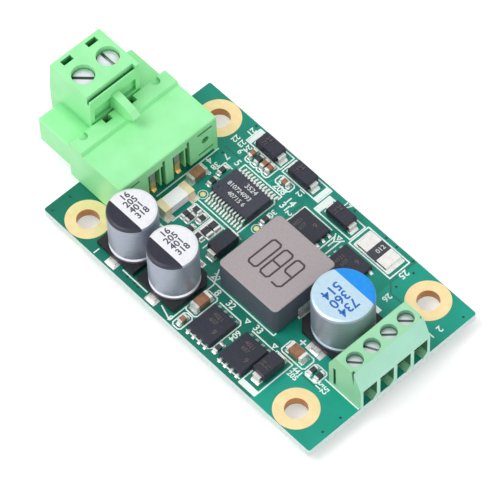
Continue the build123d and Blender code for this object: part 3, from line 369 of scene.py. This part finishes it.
# The via's near-black tone is painted shade in its hole
via_hole_shade = grained("painted_via_hole_shade", (2, 52, 38), (8, 68, 50), 1500, 0.60)
gap_green = grained("mask_over_bare_board", (6, 112, 92), (12, 122, 102), 500, 0.46)
track_green = grained("mask_over_tracks", (28, 144, 116), (40, 158, 128), 500, 0.40)
slate_ink = grained("slate_can_ink", (52, 58, 70), (70, 76, 88), 1200, 0.55)
blue_ink = grained("blue_can_ink", (24, 92, 178), (36, 108, 196), 1200, 0.50)
engraved = grained("dark_engraving", (62, 50, 58), (78, 66, 74), 1400, 0.70)
faint_ink = grained("faint_package_mark", (88, 80, 80), (108, 98, 94), 1200, 0.60)
pale_ink = grained("pale_package_mark", (196, 198, 200), (222, 224, 226), 1200, 0.60)

can_one = can_finish("first_can_metal", middle=FIRST_CAN[1], side=-1, chord=1.35,
                     paint=(28, 31, 50), top=(240, 240, 246))
can_two = can_finish("second_can_metal", middle=SECOND_CAN[1], side=-1, chord=1.35,
                     paint=(28, 31, 50), top=(240, 240, 246))
can_three = can_finish("blue_can_metal", middle=OUTPUT_CAN[1], side=1, chord=2.15,
                       paint=(0, 150, 242), top=(196, 223, 238))

finish_of = {
    "board": green_mask, "gold_plating": gold_ring, "test_pads": gold_pad, "solder_pads": bright_tin,
    "header_housing": mint_plastic, "header_pin_1": pin_metal, "header_pin_2": pin_metal,
    "header_inserts": insert_metal, "plug_housing": mint_plastic, "terminal_housing": sage_plastic,
    "terminal_pins": bright_tin, "solder_joints": soft_solder,
    "input_capacitor_1_can": can_one, "input_capacitor_2_can": can_two, "output_capacitor_can": can_three,
    "inductor_core": core_powder, "inductor_terminals": bright_tin, "controller_body": slate_plastic,
    "controller_leads": bright_tin, "mosfet_leads": bright_tin, "diode_tabs": bright_tin,
    "sense_resistor_body": film_black, "sense_resistor_ends": bright_tin, "fuse_body": white_ceramic,
    "fuse_caps": cap_gold, "ceramic_chip_bodies": brown_ceramic, "resistor_chip_bodies": film_black,
    "chip_ends": bright_tin,
}
for stem, finish in (("plug_screw_", screw_steel), ("flange_screw_", screw_steel),
                     ("terminal_screw_", screw_steel), ("plug_cage_", cage_steel),
                     ("terminal_cage_", cage_steel), ("plug_contact_", bright_tin),
                     ("mosfet_body_", dark_plastic), ("diode_body_", dark_plastic)):
    finish_of.update({name: finish for name in solids if name.startswith(stem)})
finish_of.update({name: base_plastic for name in solids if name.endswith("_base")})
finish_of.update({name: bright_tin for name in solids if name.endswith("_tabs") and name not in finish_of})
for name, solid in solids.items():
    solid.data.materials.clear()
    solid.data.materials.append(finish_of[name])


# Modelling helpers
def deselect():
    bpy.ops.object.select_all(action="DESELECT")


def take(*pieces):
    """Selects the pieces and nothing else. The first one is the active one."""
    deselect()
    for piece in pieces:
        piece.select_set(True)
    bpy.context.view_layer.objects.active = pieces[0]


def edit_all():
    """Goes into edit mode with everything selected."""
    bpy.ops.object.mode_set(mode="EDIT")
    bpy.ops.mesh.select_all(action="SELECT")


def raise_by(height):
    """Extrudes the selected faces straight up."""
    bpy.ops.mesh.extrude_region_move(TRANSFORM_OT_translate={"value": (0, 0, height * MM)})


def face_outwards():
    """Turns all faces outwards and leaves edit mode."""
    bpy.ops.mesh.select_all(action="SELECT")
    bpy.ops.mesh.normals_make_consistent(inside=False)
    bpy.ops.object.mode_set(mode="OBJECT")


def settle(*pieces):
    """Puts each piece's place into its mesh."""
    take(*pieces)
    bpy.ops.object.transform_apply(location=True, rotation=True, scale=True)


def pick(piece, test):
    """In edit mode, selects the vertices whose place in millimetres passes the test."""
    bpy.ops.mesh.select_mode(type="VERT")
    bpy.ops.mesh.select_all(action="DESELECT")
    bpy.ops.object.mode_set(mode="OBJECT")
    for vertex in piece.data.vertices:
        vertex.select = test(*(vertex.co / MM))
    bpy.ops.object.mode_set(mode="EDIT")


def join(pieces, name):
    """Several pieces as one."""
    take(*pieces)
    if len(pieces) > 1:
        bpy.ops.object.join()
    pieces[0].name = name
    return pieces[0]


def strew(model, places, name):
    """Copies of a model at places (x, y, z, turn in degrees), joined. The model itself goes."""
    copies = []
    for x, y, z, turn in places:
        copy = model.copy()
        copy.data = model.data.copy()
        bpy.context.collection.objects.link(copy)
        copy.location = (x * MM, y * MM, z * MM)
        copy.rotation_euler = (0, 0, math.radians(turn))
        copies.append(copy)
    settle(*copies)
    bpy.data.objects.remove(model)
    return join(copies, name)


def finished(piece, finish, body="module"):
    """Gives the piece its finish and its body."""
    piece.data.name = piece.name
    piece.data.materials.clear()
    piece.data.materials.append(finish)
    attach(piece, body)
    return piece


def eased(points):
    """The points with one more just before and after each corner, so that a ribbon keeps its width there."""
    points = [point for point, last in zip(points, [None] + points) if point != last]
    path = [points[0]]
    for before, corner, after in zip(points, points[1:], points[2:]):
        for end in (before, after):
            away = math.dist(corner, end)
            share = min(EASE / away, EASE_SHARE)
            path.append(tuple(c + (e - c) * share for c, e in zip(corner, end)))
            if end is before:
                path.append(corner)
    path.append(points[-1])
    return path


def ribbons(name, strokes, width, z, finish, thickness=PRINT):
    """Flat ribbons along strokes of (x, y) points: each is drawn by extruding a vertex."""
    deselect()
    bpy.ops.mesh.primitive_plane_add(size=MM)
    piece = bpy.context.object
    bpy.ops.object.mode_set(mode="EDIT")
    bpy.ops.mesh.delete(type="VERT")
    for stroke in strokes:
        path = eased(stroke)
        # A tiny plane merged into one vertex is the stroke's start
        bpy.ops.mesh.select_all(action="DESELECT")
        bpy.ops.mesh.primitive_plane_add(size=0.01 * MM, location=(path[0][0] * MM, path[0][1] * MM, z * MM))
        bpy.ops.mesh.merge(type="CENTER")
        for (x0, y0), (x1, y1) in zip(path, path[1:]):
            bpy.ops.mesh.extrude_region_move(
                TRANSFORM_OT_translate={"value": ((x1 - x0) * MM, (y1 - y0) * MM, 0)})
    bpy.ops.object.mode_set(mode="OBJECT")
    take(piece)
    bpy.ops.object.convert(target="CURVE")
    piece = bpy.context.object
    piece.data.bevel_depth = width / 2 * MM
    piece.data.bevel_resolution = 0
    piece.data.use_fill_caps = True
    bpy.ops.object.convert(target="MESH")
    piece = bpy.context.object
    edit_all()
    bpy.ops.transform.resize(value=(1, 1, thickness / width), center_override=(0, 0, z * MM))
    face_outwards()
    piece.name = name
    return finished(piece, finish)


def number(text, size, x, y, turn, z, stretch=1.0, weight=0.0):
    """A number that lies on a surface, centred on its place. A stretch of -1 mirrors it."""
    deselect()
    bpy.ops.object.text_add()
    letters = bpy.context.object
    letters.data.body = text
    letters.data.size = size * MM
    letters.data.align_x = "CENTER"
    letters.data.align_y = "CENTER"
    letters.data.extrude = PRINT / 2 * MM
    letters.data.offset = weight * MM
    letters.data.resolution_u = 3
    bpy.ops.object.convert(target="MESH")
    letters = bpy.context.object
    letters.scale = (stretch, 1, 1)
    letters.rotation_euler = (0, 0, math.radians(turn))
    letters.location = (x * MM, y * MM, z * MM)
    settle(letters)
    return letters


def numbers(name, rows, z, finish, slot_name, **options):
    """Numbers (text, size, x, y, turn) at one level as one piece."""
    return finished(join([number(*row, z, **options) for row in rows], name), finish)


def slabs(name, boxes, z, finish):
    """Flat printed bars between corners (x0, y0, x1, y1)."""
    bars = []
    for x0, y0, x1, y1 in boxes:
        deselect()
        bpy.ops.mesh.primitive_plane_add(size=MM)
        bar = bpy.context.object
        bar.scale = (x1 - x0, y1 - y0, 1)
        bar.location = ((x0 + x1) / 2 * MM, (y0 + y1) / 2 * MM, (z - PRINT / 2) * MM)
        settle(bar)
        edit_all()
        raise_by(PRINT)
        face_outwards()
        bars.append(bar)
    return finished(join(bars, name), finish)


# Printed outlines on the top face
def outline(x0, y0, x1, y1):
    """A closed frame as one stroke. It goes on a little past its start, which fills that corner."""
    return [(x0, y0), (x1, y0), (x1, y1), (x0, y1), (x0, y0), (x0 + 0.01, y0)]


def capsule(x0, y0, x1, y1):
    """A closed frame with cut corners."""
    cut = 0.35
    return [(x0 + cut, y0), (x1 - cut, y0), (x1, y0 + cut), (x1, y1 - cut), (x1 - cut, y1), (x0 + cut, y1),
            (x0, y1 - cut), (x0, y0 + cut), (x0 + cut, y0)]


scallops = [(-15.2, 14.1)]
for left, right in ((-15.2, -14.0), (-14.0, -12.6), (-12.6, -11.4), (-11.4, -10.0)):
    scallops += [(left, 11.75), (left + 0.25, 11.35), (right - 0.25, 11.35), (right, 11.75)]
scallops += [(-10.0, 14.1), (-15.2, 14.1)]
strokes = [
    [(-19.38, -3.3), (-19.38, 9.9)],
    outline(-17.5, 14.05, -9.75, 17.05),
    outline(-9.3, 14.05, -1.2, 17.05),
    outline(-0.75, 12.85, 7.25, 16.15),
    outline(7.55, 12.35, 16.6, 16.55),
    outline(14.15, -16.85, 17.6, -8.95),
    [(-3.4, -7.5), (11.8, -7.5), (11.8, -6.9)],
    [(-12.9, -16.1), (-7.2, -16.1)],
    [(-4.0, -16.1), (-1.2, -17.0), (-1.2, -7.9), (-2.7, -5.3)],
    [(1.8, -9.35), (6.5, -9.35), (7.0, -9.85), (7.0, -15.8), (6.5, -16.3), (1.8, -16.3)],
    [(8.9, -9.25), (13.9, -9.25)],
    [(8.9, -16.4), (13.9, -16.4)],
    [(-2.0, 12.1), (4.1, 12.1)],
    [(-2.0, 6.2), (-2.0, 12.1)],
    [(5.2, 6.4), (5.2, 11.7)],
    [(6.5, 6.4), (6.5, 11.7)],
    capsule(-1.2, -13.9, 1.3, -9.1),
    capsule(-0.6, -17.2, 1.2, -14.2),
    capsule(14.3, -8.45, 19.4, -5.95),
    capsule(19.85, -8.75, 22.5, -6.2),
    [(22.8, -7.15), (30.1, -7.15)],
    [(-14.9, 1.0), (-5.65, 1.0), (-5.65, 9.0), (-6.2, 9.5)],
    [(-14.2, 9.3), (-14.2, 10.75), (-5.85, 10.75), (-5.85, 9.9)],
    [(-16.65, 6.9), (-16.65, 8.75), (-14.95, 8.75)],
    [(-14.25, 0.25), (-14.25, -4.6)],
    [(-14.25, 0.25), (-7.3, 0.25), (-7.3, -4.6)],
    [(-10.5, 0.2), (-10.5, -4.5)],
    outline(-14.15, -3.15, -13.2, -1.2),
    outline(-13.15, -3.15, -12.2, -1.2),
    outline(-11.8, -1.95, -10.9, -0.05),
    outline(-10.25, -1.4, -7.85, 0.0),
    outline(-10.25, -2.9, -7.85, -1.5),
    outline(8.3, 12.75, 15.75, 16.2),
    [(4.9, 12.1), (5.75, 10.8), (5.75, 9.6)],
    [(6.9, 12.1), (5.75, 10.8)],
    capsule(-8.9, 11.9, -5.7, 13.6),
    scallops,
]
ribbons("printed_lines", strokes, 0.24, BOARD_PRINT, white_print)
slabs("printed_bars", [(-17.35, 14.1, -16.5, 17.0), (-2.3, 14.1, -1.35, 17.0), (-0.7, 12.9, 0.35, 16.1),
                       (14.2, -16.8, 17.55, -15.9)], BOARD_PRINT, white_print)


def triangle_mark():
    """A printed pointer, open in the middle."""
    deselect()
    bpy.ops.mesh.primitive_circle_add(vertices=3, radius=0.62 * MM, fill_type="NGON")
    mark = bpy.context.object
    edit_all()
    bpy.ops.mesh.inset(thickness=0.2 * MM)
    bpy.ops.mesh.delete(type="FACE")
    bpy.ops.mesh.select_all(action="SELECT")
    raise_by(PRINT)
    face_outwards()
    return mark


pointer_places = [(x, y, BOARD_TOP, 180) for x, y in ((7.2, -8.55), (13.3, -8.6), (5.9, 11.9))]
finished(strew(triangle_mark(), pointer_places, "printed_pointers"), white_print)
ring_radius, ring_steps = 0.8, 16
ring_turns = [step * math.tau / ring_steps for step in range(ring_steps + 1)]
ring = [(ring_radius * math.cos(turn), ring_radius * math.sin(turn)) for turn in ring_turns]
ribbons("printed_rings", [[(pad_x + x, pad_y + y) for x, y in ring] for pad_x, pad_y in TEST_PADS], 0.14,
        BOARD_PRINT, white_print)
ribbons("printed_plus", [[(15.2, -5.1), (16.4, -5.1)], [(15.8, -5.7), (15.8, -4.5)]], 0.28,
        BOARD_PRINT, white_print)

numbers("printed_numbers", [
    ("1", 1.6, -18.3, -16.75, 0), ("21", 1.5, -18.15, 15.7, -90),
    ("22", 1.4, -18.95, 13.05, -90), ("23", 1.4, -17.6, 13.05, -90),
    ("24", 1.4, -16.2, 13.05, -90), ("6", 1.4, -16.6, 11.85, 0),
    ("7", 1.6, -17.4, 9.65, -90), ("5", 1.7, -15.25, 10.1, 0),
    ("4", 1.8, -18.8, 7.25, -90), ("38", 1.4, -17.35, 7.2, -90),
    ("9", 1.4, -17.2, 5.6, -90), ("208", 1.65, -7.1, 11.5, 0),
    ("12", 1.45, -4.4, 13.35, -90), ("14", 1.75, -4.15, 10.95, 0),
    ("31", 1.75, -4.15, 9.75, 0), ("2", 1.5, -2.9, 9.4, -90),
    ("30", 1.4, -4.6, 7.5, -90), ("17", 1.35, 2.4, 16.88, 0),
    ("25", 1.65, 17.5, 14.4, -90), ("26", 1.5, 18.75, 9.65, -90),
    ("2", 1.6, 28.3, 11.5, -90), ("1", 1.6, 28.2, 9.8, -90),
    ("8", 1.7, 0.3, -8.45, 0), ("32", 1.6, 3.3, -8.45, 0),
    ("33", 1.6, 9.4, -8.45, 0), ("441", 1.25, 18.95, -9.3, 0),
    ("205", 1.25, 18.95, -10.3, 0), ("51", 1.4, 23.0, -8.55, -90),
    ("52", 1.4, 24.15, -8.55, -90), ("604", 1.4, 7.75, -11.75, -90),
    ("9", 1.4, -1.35, -16.75, 0), ("27", 1.5, -1.9, -6.75, 0),
], BOARD_PRINT, white_print, "circuit_board", weight=0.035)
numbers("lower_printed_numbers", [
    ("1", 1.6, -17.5, -8.0, 180), ("2", 1.6, 20.5, 9.6, 180),
    ("3", 1.6, 0.0, 14.6, 180),
], LOWER_PRINT, white_print, "circuit_board", stretch=-1.0)


# Vias, and tracks and gaps in the copper under the mask
def via_model():
    """A via as a small dished disc, dark as painted shade in its hole."""
    deselect()
    bpy.ops.mesh.primitive_circle_add(vertices=12, radius=0.21 * MM, fill_type="NGON")
    via = bpy.context.object
    edit_all()
    raise_by(VIA_HEIGHT)
    bpy.ops.mesh.inset(thickness=0.07 * MM)
    bpy.ops.transform.translate(value=(0, 0, -0.008 * MM))
    face_outwards()
    return via


via_spots = [(-28.65, -13.0), (-28.6, -16.65), (29.25, -10.1), (29.2, -13.7), (3.9, 17.1), (10.9, 17.1),
             (13.2, 17.1), (16.8, 17.1), (18.4, 15.65), (18.35, 12.05), (-18.4, 17.0), (-18.35, 9.75),
             (-11.5, -16.4), (-9.8, -16.4), (-9.0, -16.5), (8.2, -16.2), (-3.0, -3.9), (29.3, 15.6)]
for name, level in (("vias", BOARD_TOP), ("lower_vias", -VIA_HEIGHT)):
    via_places = [(x, y, level, 0) for x, y in via_spots]
    finished(strew(via_model(), via_places, name), via_hole_shade)

gap_strokes = [
    [(-19.2, -7.0), (-12.0, -7.0), (-10.6, -5.6), (-3.6, -5.6)],
    [(-1.9, -17.4), (-1.9, -8.4), (-0.2, -7.9), (12.4, -7.9), (13.4, -8.9), (13.4, -17.4)],
    [(7.75, -17.3), (7.75, -9.3)],
    [(-4.0, 12.2), (-2.6, 12.2), (-2.6, 6.6), (-1.6, 6.0)],
    [(5.85, 12.6), (5.85, 6.4)],
    [(17.2, 17.3), (17.2, 12.0), (18.6, 10.6), (22.6, 10.6)],
    [(17.9, -9.1), (22.6, -9.1), (23.2, -8.5)],
    [(-19.0, 10.9), (-15.6, 10.9), (-15.6, 13.4), (-18.4, 13.4)],
]
ribbons("mask_gaps", gap_strokes, 0.3, BOARD_FILM, gap_green, FILM)
track_strokes = [
    [(-14.65, 2.2), (-14.65, 0.9), (-15.2, 0.3)], [(-4.2, 3.85), (-4.2, 4.9)],
    [(-15.8, 8.2), (-15.8, 9.0), (-14.2, 9.9)], [(-13.1, 10.5), (-13.1, 11.4)],
    [(-11.8, 10.5), (-11.8, 11.4)], [(-10.5, 10.5), (-10.5, 11.4)],
    [(-9.2, 10.5), (-9.2, 11.6), (-8.6, 12.2)],
    [(-11.4, 1.6), (-11.4, 0.6)], [(-9.8, 1.6), (-9.8, 0.6)], [(-8.2, 1.6), (-8.2, 0.4)],
]
ribbons("fine_tracks", track_strokes, 0.28, BOARD_FILM, track_green, FILM)
lower_gaps = [
    [(-27.0, -6.4), (-10.0, -6.4), (-6.0, -10.4), (12.0, -10.4), (16.0, -6.4), (26.0, -6.4)],
    [(-27.0, 6.0), (-8.0, 6.0), (-4.0, 10.0), (14.0, 10.0), (18.0, 6.6), (26.0, 6.6)],
    [(-4.0, -9.8), (-4.0, 9.4)],
]
ribbons("lower_mask_gaps", lower_gaps, 0.4, LOWER_FILM, gap_green, FILM)
lower_tracks = [
    [(-12.6, 6.6), (-12.6, 13.8), (-4.0, 15.4)], [(-10.0, 6.6), (-10.0, 12.6), (0.4, 13.4)],
    [(-8.6, -5.2), (-8.6, 1.0), (-12.0, 4.4)], [(2.0, -9.4), (2.0, 3.0), (-1.6, 6.6), (-1.6, 8.6)],
    [(10.0, 11.0), (10.0, 14.0), (15.6, 16.0)],
]
ribbons("lower_tracks", lower_tracks, 0.35, LOWER_FILM, track_green, FILM)


# Solder at the feet of the parts
def solder_ramp(width, run, rise):
    """A fillet of solder that falls from its high end at x = 0 to its toe at x = run.

    The toe keeps a share of the rise, the fall is hollow, the width tapers, and the upper edges slump.
    """
    steps, toe, hollow, taper, slump = 4, 0.12, 1.8, 0.18, 0.12
    deselect()
    bpy.ops.mesh.primitive_cube_add(size=MM)
    ramp = bpy.context.object
    ramp.scale = (run, width, rise)
    ramp.location = (run / 2 * MM, 0, rise / 2 * MM)
    settle(ramp)
    edit_all()
    bpy.ops.mesh.subdivide(number_cuts=steps - 1)
    bpy.ops.object.mode_set(mode="OBJECT")
    for step in range(1, steps + 1):
        share = step / steps
        bpy.ops.object.mode_set(mode="EDIT")
        pick(ramp, lambda x, y, z: abs(x - run * share) < NEAR)
        fall = toe + (1 - toe) * (1 - share) ** hollow
        narrow = 1 - taper * share * share
        bpy.ops.transform.resize(value=(1, narrow, fall), center_override=(0, 0, 0))
        bpy.ops.object.mode_set(mode="OBJECT")
    bpy.ops.object.mode_set(mode="EDIT")
    # The outer edges, above a line that falls to the toe
    pick(ramp, lambda x, y, z: abs(y) > 0.3 * width and z > 0.3 * rise * (1 - x / run) + 0.02)
    bpy.ops.transform.translate(value=(0, 0, -slump * rise * MM))
    face_outwards()
    bpy.ops.object.shade_smooth_by_angle(angle=math.radians(50))
    return ramp


def spot_on(part, along, across):
    """The place at distances along and across a part (x, y, turn) from its centre."""
    x, y, turn = part
    angle = math.radians(turn)
    return (x + along * math.cos(angle) - across * math.sin(angle),
            y + along * math.sin(angle) + across * math.cos(angle))


def ends_of(parts, reach):
    """The two ends of each part (x, y, turn): places for ramps that fall away from it."""
    return [(*spot_on((x, y, turn + side), reach, 0), SOLDER_FOOT, turn + side)
            for x, y, turn in parts for side in (0, 180)]


def feet_of(parts, leads, pitch, reach):
    """Two rows of leads along each part (x, y, turn): places for ramps that fall away from the part."""
    middle = (leads - 1) / 2
    return [(*spot_on(part, (step - middle) * pitch, row * reach), SOLDER_FOOT, part[2] + 90 * row)
            for part in parts for row in (-1, 1) for step in range(leads)]


# Parts by kind, each as (x, y, turn)
small_chips = [(-14.7, 12.85, 90), (-11.95, 12.85, 90), (-10.8, 12.85, 90), (-7.25, 12.75, 0),
               (0.35, -15.65, 90)]
small_films = [(-13.3, 12.85, 90), (7.75, -15.1, 90), (20.5, -7.45, 90), (21.85, -7.45, 90),
               (-13.1, -0.55, 0), (-13.7, -2.2, 90), (-12.7, -2.2, 90), (-11.35, -1.0, 90),
               (-11.2, -3.7, 90), (-9.3, -3.65, 0), (-15.8, 7.4, 90), (-15.35, 4.9, 90), (-4.35, 5.9, 90)]
medium_films = [(-9.05, -0.7, 0), (-9.05, -2.2, 0)]
large_chips = [(0.05, -11.5, 90), (16.75, -7.2, 0), (-17.85, 3.9, 90)]
diodes = [(-13.2, 15.3, 0), (-5.85, 15.3, 0), (3.75, 14.35, 0), (15.85, -12.2, 90), (-5.15, -2.2, 90)]
transistors = [(4.3, -13.25, 0), (11.35, -13.2, 0), (1.4, 9.05, 90), (10.7, 9.05, 90)]

pin_places = [(*spot_on((x, y, turn), PIN_REACH, 0), SOLDER_FOOT, turn)
              for x, y in HEADER_PINS for turn in (0, 90, -90)]

# Each row: name, (width, run, rise) of the ramp, places. An end's number is its reach from the part's middle.
solder_rows = [
    ("pin_solder", (0.9, 0.62, 0.5), pin_places),
    ("small_chip_solder", (0.75, 0.34, 0.46), ends_of(small_chips, 0.79)),
    ("small_film_solder", (0.75, 0.34, 0.34), ends_of(small_films, 0.79)),
    ("medium_film_solder", (1.2, 0.34, 0.4), ends_of(medium_films, 0.99)),
    ("large_chip_solder", (1.55, 0.4, 0.85), ends_of(large_chips, 1.59)),
    ("diode_solder", (1.7, 0.42, 0.34), ends_of(diodes, 2.68)),
    ("transistor_solder", (0.5, 0.34, 0.24), feet_of(transistors, 4, TRANSISTOR_PITCH, TRANSISTOR_REACH)),
    ("controller_solder", (0.32, 0.2, 0.14), feet_of([CONTROLLER], 12, CONTROLLER_PITCH, CONTROLLER_REACH)),
    ("input_can_solder", (1.7, 0.55, 0.42), ends_of([FIRST_CAN, SECOND_CAN], 4.88)),
    ("output_can_solder", (1.7, 0.55, 0.42), ends_of([OUTPUT_CAN], 5.88)),
    ("fuse_solder", (2.5, 0.5, 1.2), ends_of([FUSE], 3.04)),
    ("shunt_solder", (3.2, 0.38, 0.42), ends_of([SHUNT], 3.19)),
    ("inductor_solder", (3.4, 0.45, 0.5), ends_of([INDUCTOR], 6.42)),
]
for name, ramp_size, places in solder_rows:
    finish = pin_gold if name == "pin_solder" else soft_solder
    finished(strew(solder_ramp(*ramp_size), places, name), finish)


# Marks on the parts
def on_parts(parts, rows):
    """Rows (text, size, along, across) set on each part (x, y, turn)."""
    return [(row, size, *spot_on(part, along, across), part[2])
            for part in parts for row, size, along, across in rows]


for name, (x, y, turn) in (("first_can_marks", FIRST_CAN), ("second_can_marks", SECOND_CAN)):
    numbers(name, [("16", 1.6, x - 2.5, y + 0.8, turn), ("205", 1.6, x - 1.15, y + 0.75, turn),
                   ("401", 1.6, x + 0.2, y + 0.75, turn), ("318", 1.6, x + 1.55, y + 0.75, turn)],
            INPUT_LID_PRINT, slate_ink, "can_metal", weight=0.035)
numbers("output_can_marks", [("734", 2.3, 20.4, 0.0, -90), ("360", 2.3, 18.45, 0.0, -90),
                             ("514", 2.3, 16.5, 0.2, -90)],
        OUTPUT_LID_PRINT, blue_ink, "can_metal", weight=0.045)

# Three stroked digits in the pressed block, each 1.8 wide and 5.6 tall, read towards -X. The zero's last
# point goes past its start, as in a frame.
round_zero = [(0.3, 0), (1.5, 0), (1.8, 0.4), (1.8, 5.2), (1.5, 5.6), (0.3, 5.6), (0, 5.2), (0, 0.4),
              (0.3, 0), (0.31, 0)]
six = [(1.7, 5.6), (0.5, 5.6), (0, 5.1), (0, 0.4), (0.3, 0), (1.5, 0), (1.8, 0.4), (1.8, 2.5), (1.5, 2.9),
       (0.2, 2.9)]
middle_bar = [(0.15, 2.8), (1.65, 2.8)]
glyph_foot = 1.9
digit_strokes = []
for glyph_side, glyphs in ((9.1, [six]), (6.5, [round_zero, middle_bar]), (3.9, [round_zero])):
    digit_strokes += [[(glyph_side - x, glyph_foot - y) for x, y in glyph] for glyph in glyphs]
ribbons("inductor_marks", digit_strokes, 0.34, INDUCTOR_PRINT, engraved)

numbers("controller_marks", [("3524", 1.25, -9.1, 7.35, 0), ("810724093", 1.1, -10.2, 5.85, 0),
                             ("40715 6", 1.1, -9.5, 4.5, 0)],
        CONTROLLER_PRINT, pale_ink, "black_plastic", weight=0.02)
transistor_rows = [("4021", 1.0, -0.2, 1.55), ("607", 1.0, -0.2, 0.5), ("9", 1.3, 1.3, -0.8)]
numbers("transistor_marks", on_parts(transistors, transistor_rows),
        TRANSISTOR_PRINT, faint_ink, "black_plastic")
# The fifth diode is bare in the photo
numbers("diode_marks", on_parts(diodes[:4], [("34", 1.1, -0.7, 0.4), ("71", 1.0, -0.7, -0.6)]),
        DIODE_PRINT, faint_ink, "black_plastic")
numbers("sense_resistor_marks", [("012", 1.15, 12.1, 14.75, 90)],
        SHUNT_PRINT, pale_ink, "resistor_film", weight=0.02)


# Floor, lamps and camera
def floor_finish():
    """White, a little brighter to the camera so that the page stays white, and it takes shadows."""
    page_tone, page_glow = 0.78, 0.4
    finish, tree, shader = start_finish("page_white", 0.9)
    shader.inputs["Base Color"].default_value = (page_tone, page_tone, page_tone, 1)
    shader.inputs["Specular IOR Level"].default_value = 0.0
    shader.inputs["Emission Color"].default_value = (1, 1, 1, 1)
    glow = count(tree, "MULTIPLY", seen_directly(tree), page_glow)
    tree.links.new(glow, shader.inputs["Emission Strength"])
    return finish


# The page under the part is 3 metres wide
deselect()
bpy.ops.mesh.primitive_plane_add(size=3, location=(0, 0, FLOOR_LEVEL * MM))
floor = bpy.context.object
floor.name = "floor"
floor.data.materials.append(floor_finish())

world = bpy.data.worlds.new("studio")
bpy.context.scene.world = world
world.use_nodes = True
studio = world.node_tree
sky = studio.nodes["Background"]
sky.inputs["Color"].default_value = (1, 1, 1, 1)
sky_on_part, sky_seen = 0.66, 1.0
sky_strength = spread(studio, seen_directly(studio), 0, 1, sky_on_part, sky_seen)
studio.links.new(sky_strength, sky.inputs["Strength"])


def soft_sun(tilt, swing, energy, width, colour):
    """A distant lamp: its tilt, swing and width are in degrees."""
    deselect()
    bpy.ops.object.light_add(type="SUN", rotation=(math.radians(tilt), 0, math.radians(swing)))
    lamp = bpy.context.object
    lamp.data.energy = energy
    lamp.data.angle = math.radians(width)
    lamp.data.color = colour


soft_sun(tilt=31, swing=-35, energy=1.2, width=35, colour=(1, 1, 1))
soft_sun(tilt=60, swing=69, energy=0.45, width=60, colour=(0.92, 0.96, 1.0))

# The camera's place and turn were solved from the photo
bpy.ops.object.camera_add(location=(0.236478, -0.203571, 0.482244),
                          rotation=(0.57798413, 0.02600284, 0.82328445))
camera = bpy.context.object
camera.data.lens = 268.74
camera.data.sensor_width = 36
camera.data.clip_start = 0.01
camera.data.clip_end = 20
bpy.context.scene.camera = camera
bpy.context.scene.view_settings.view_transform = "Standard"
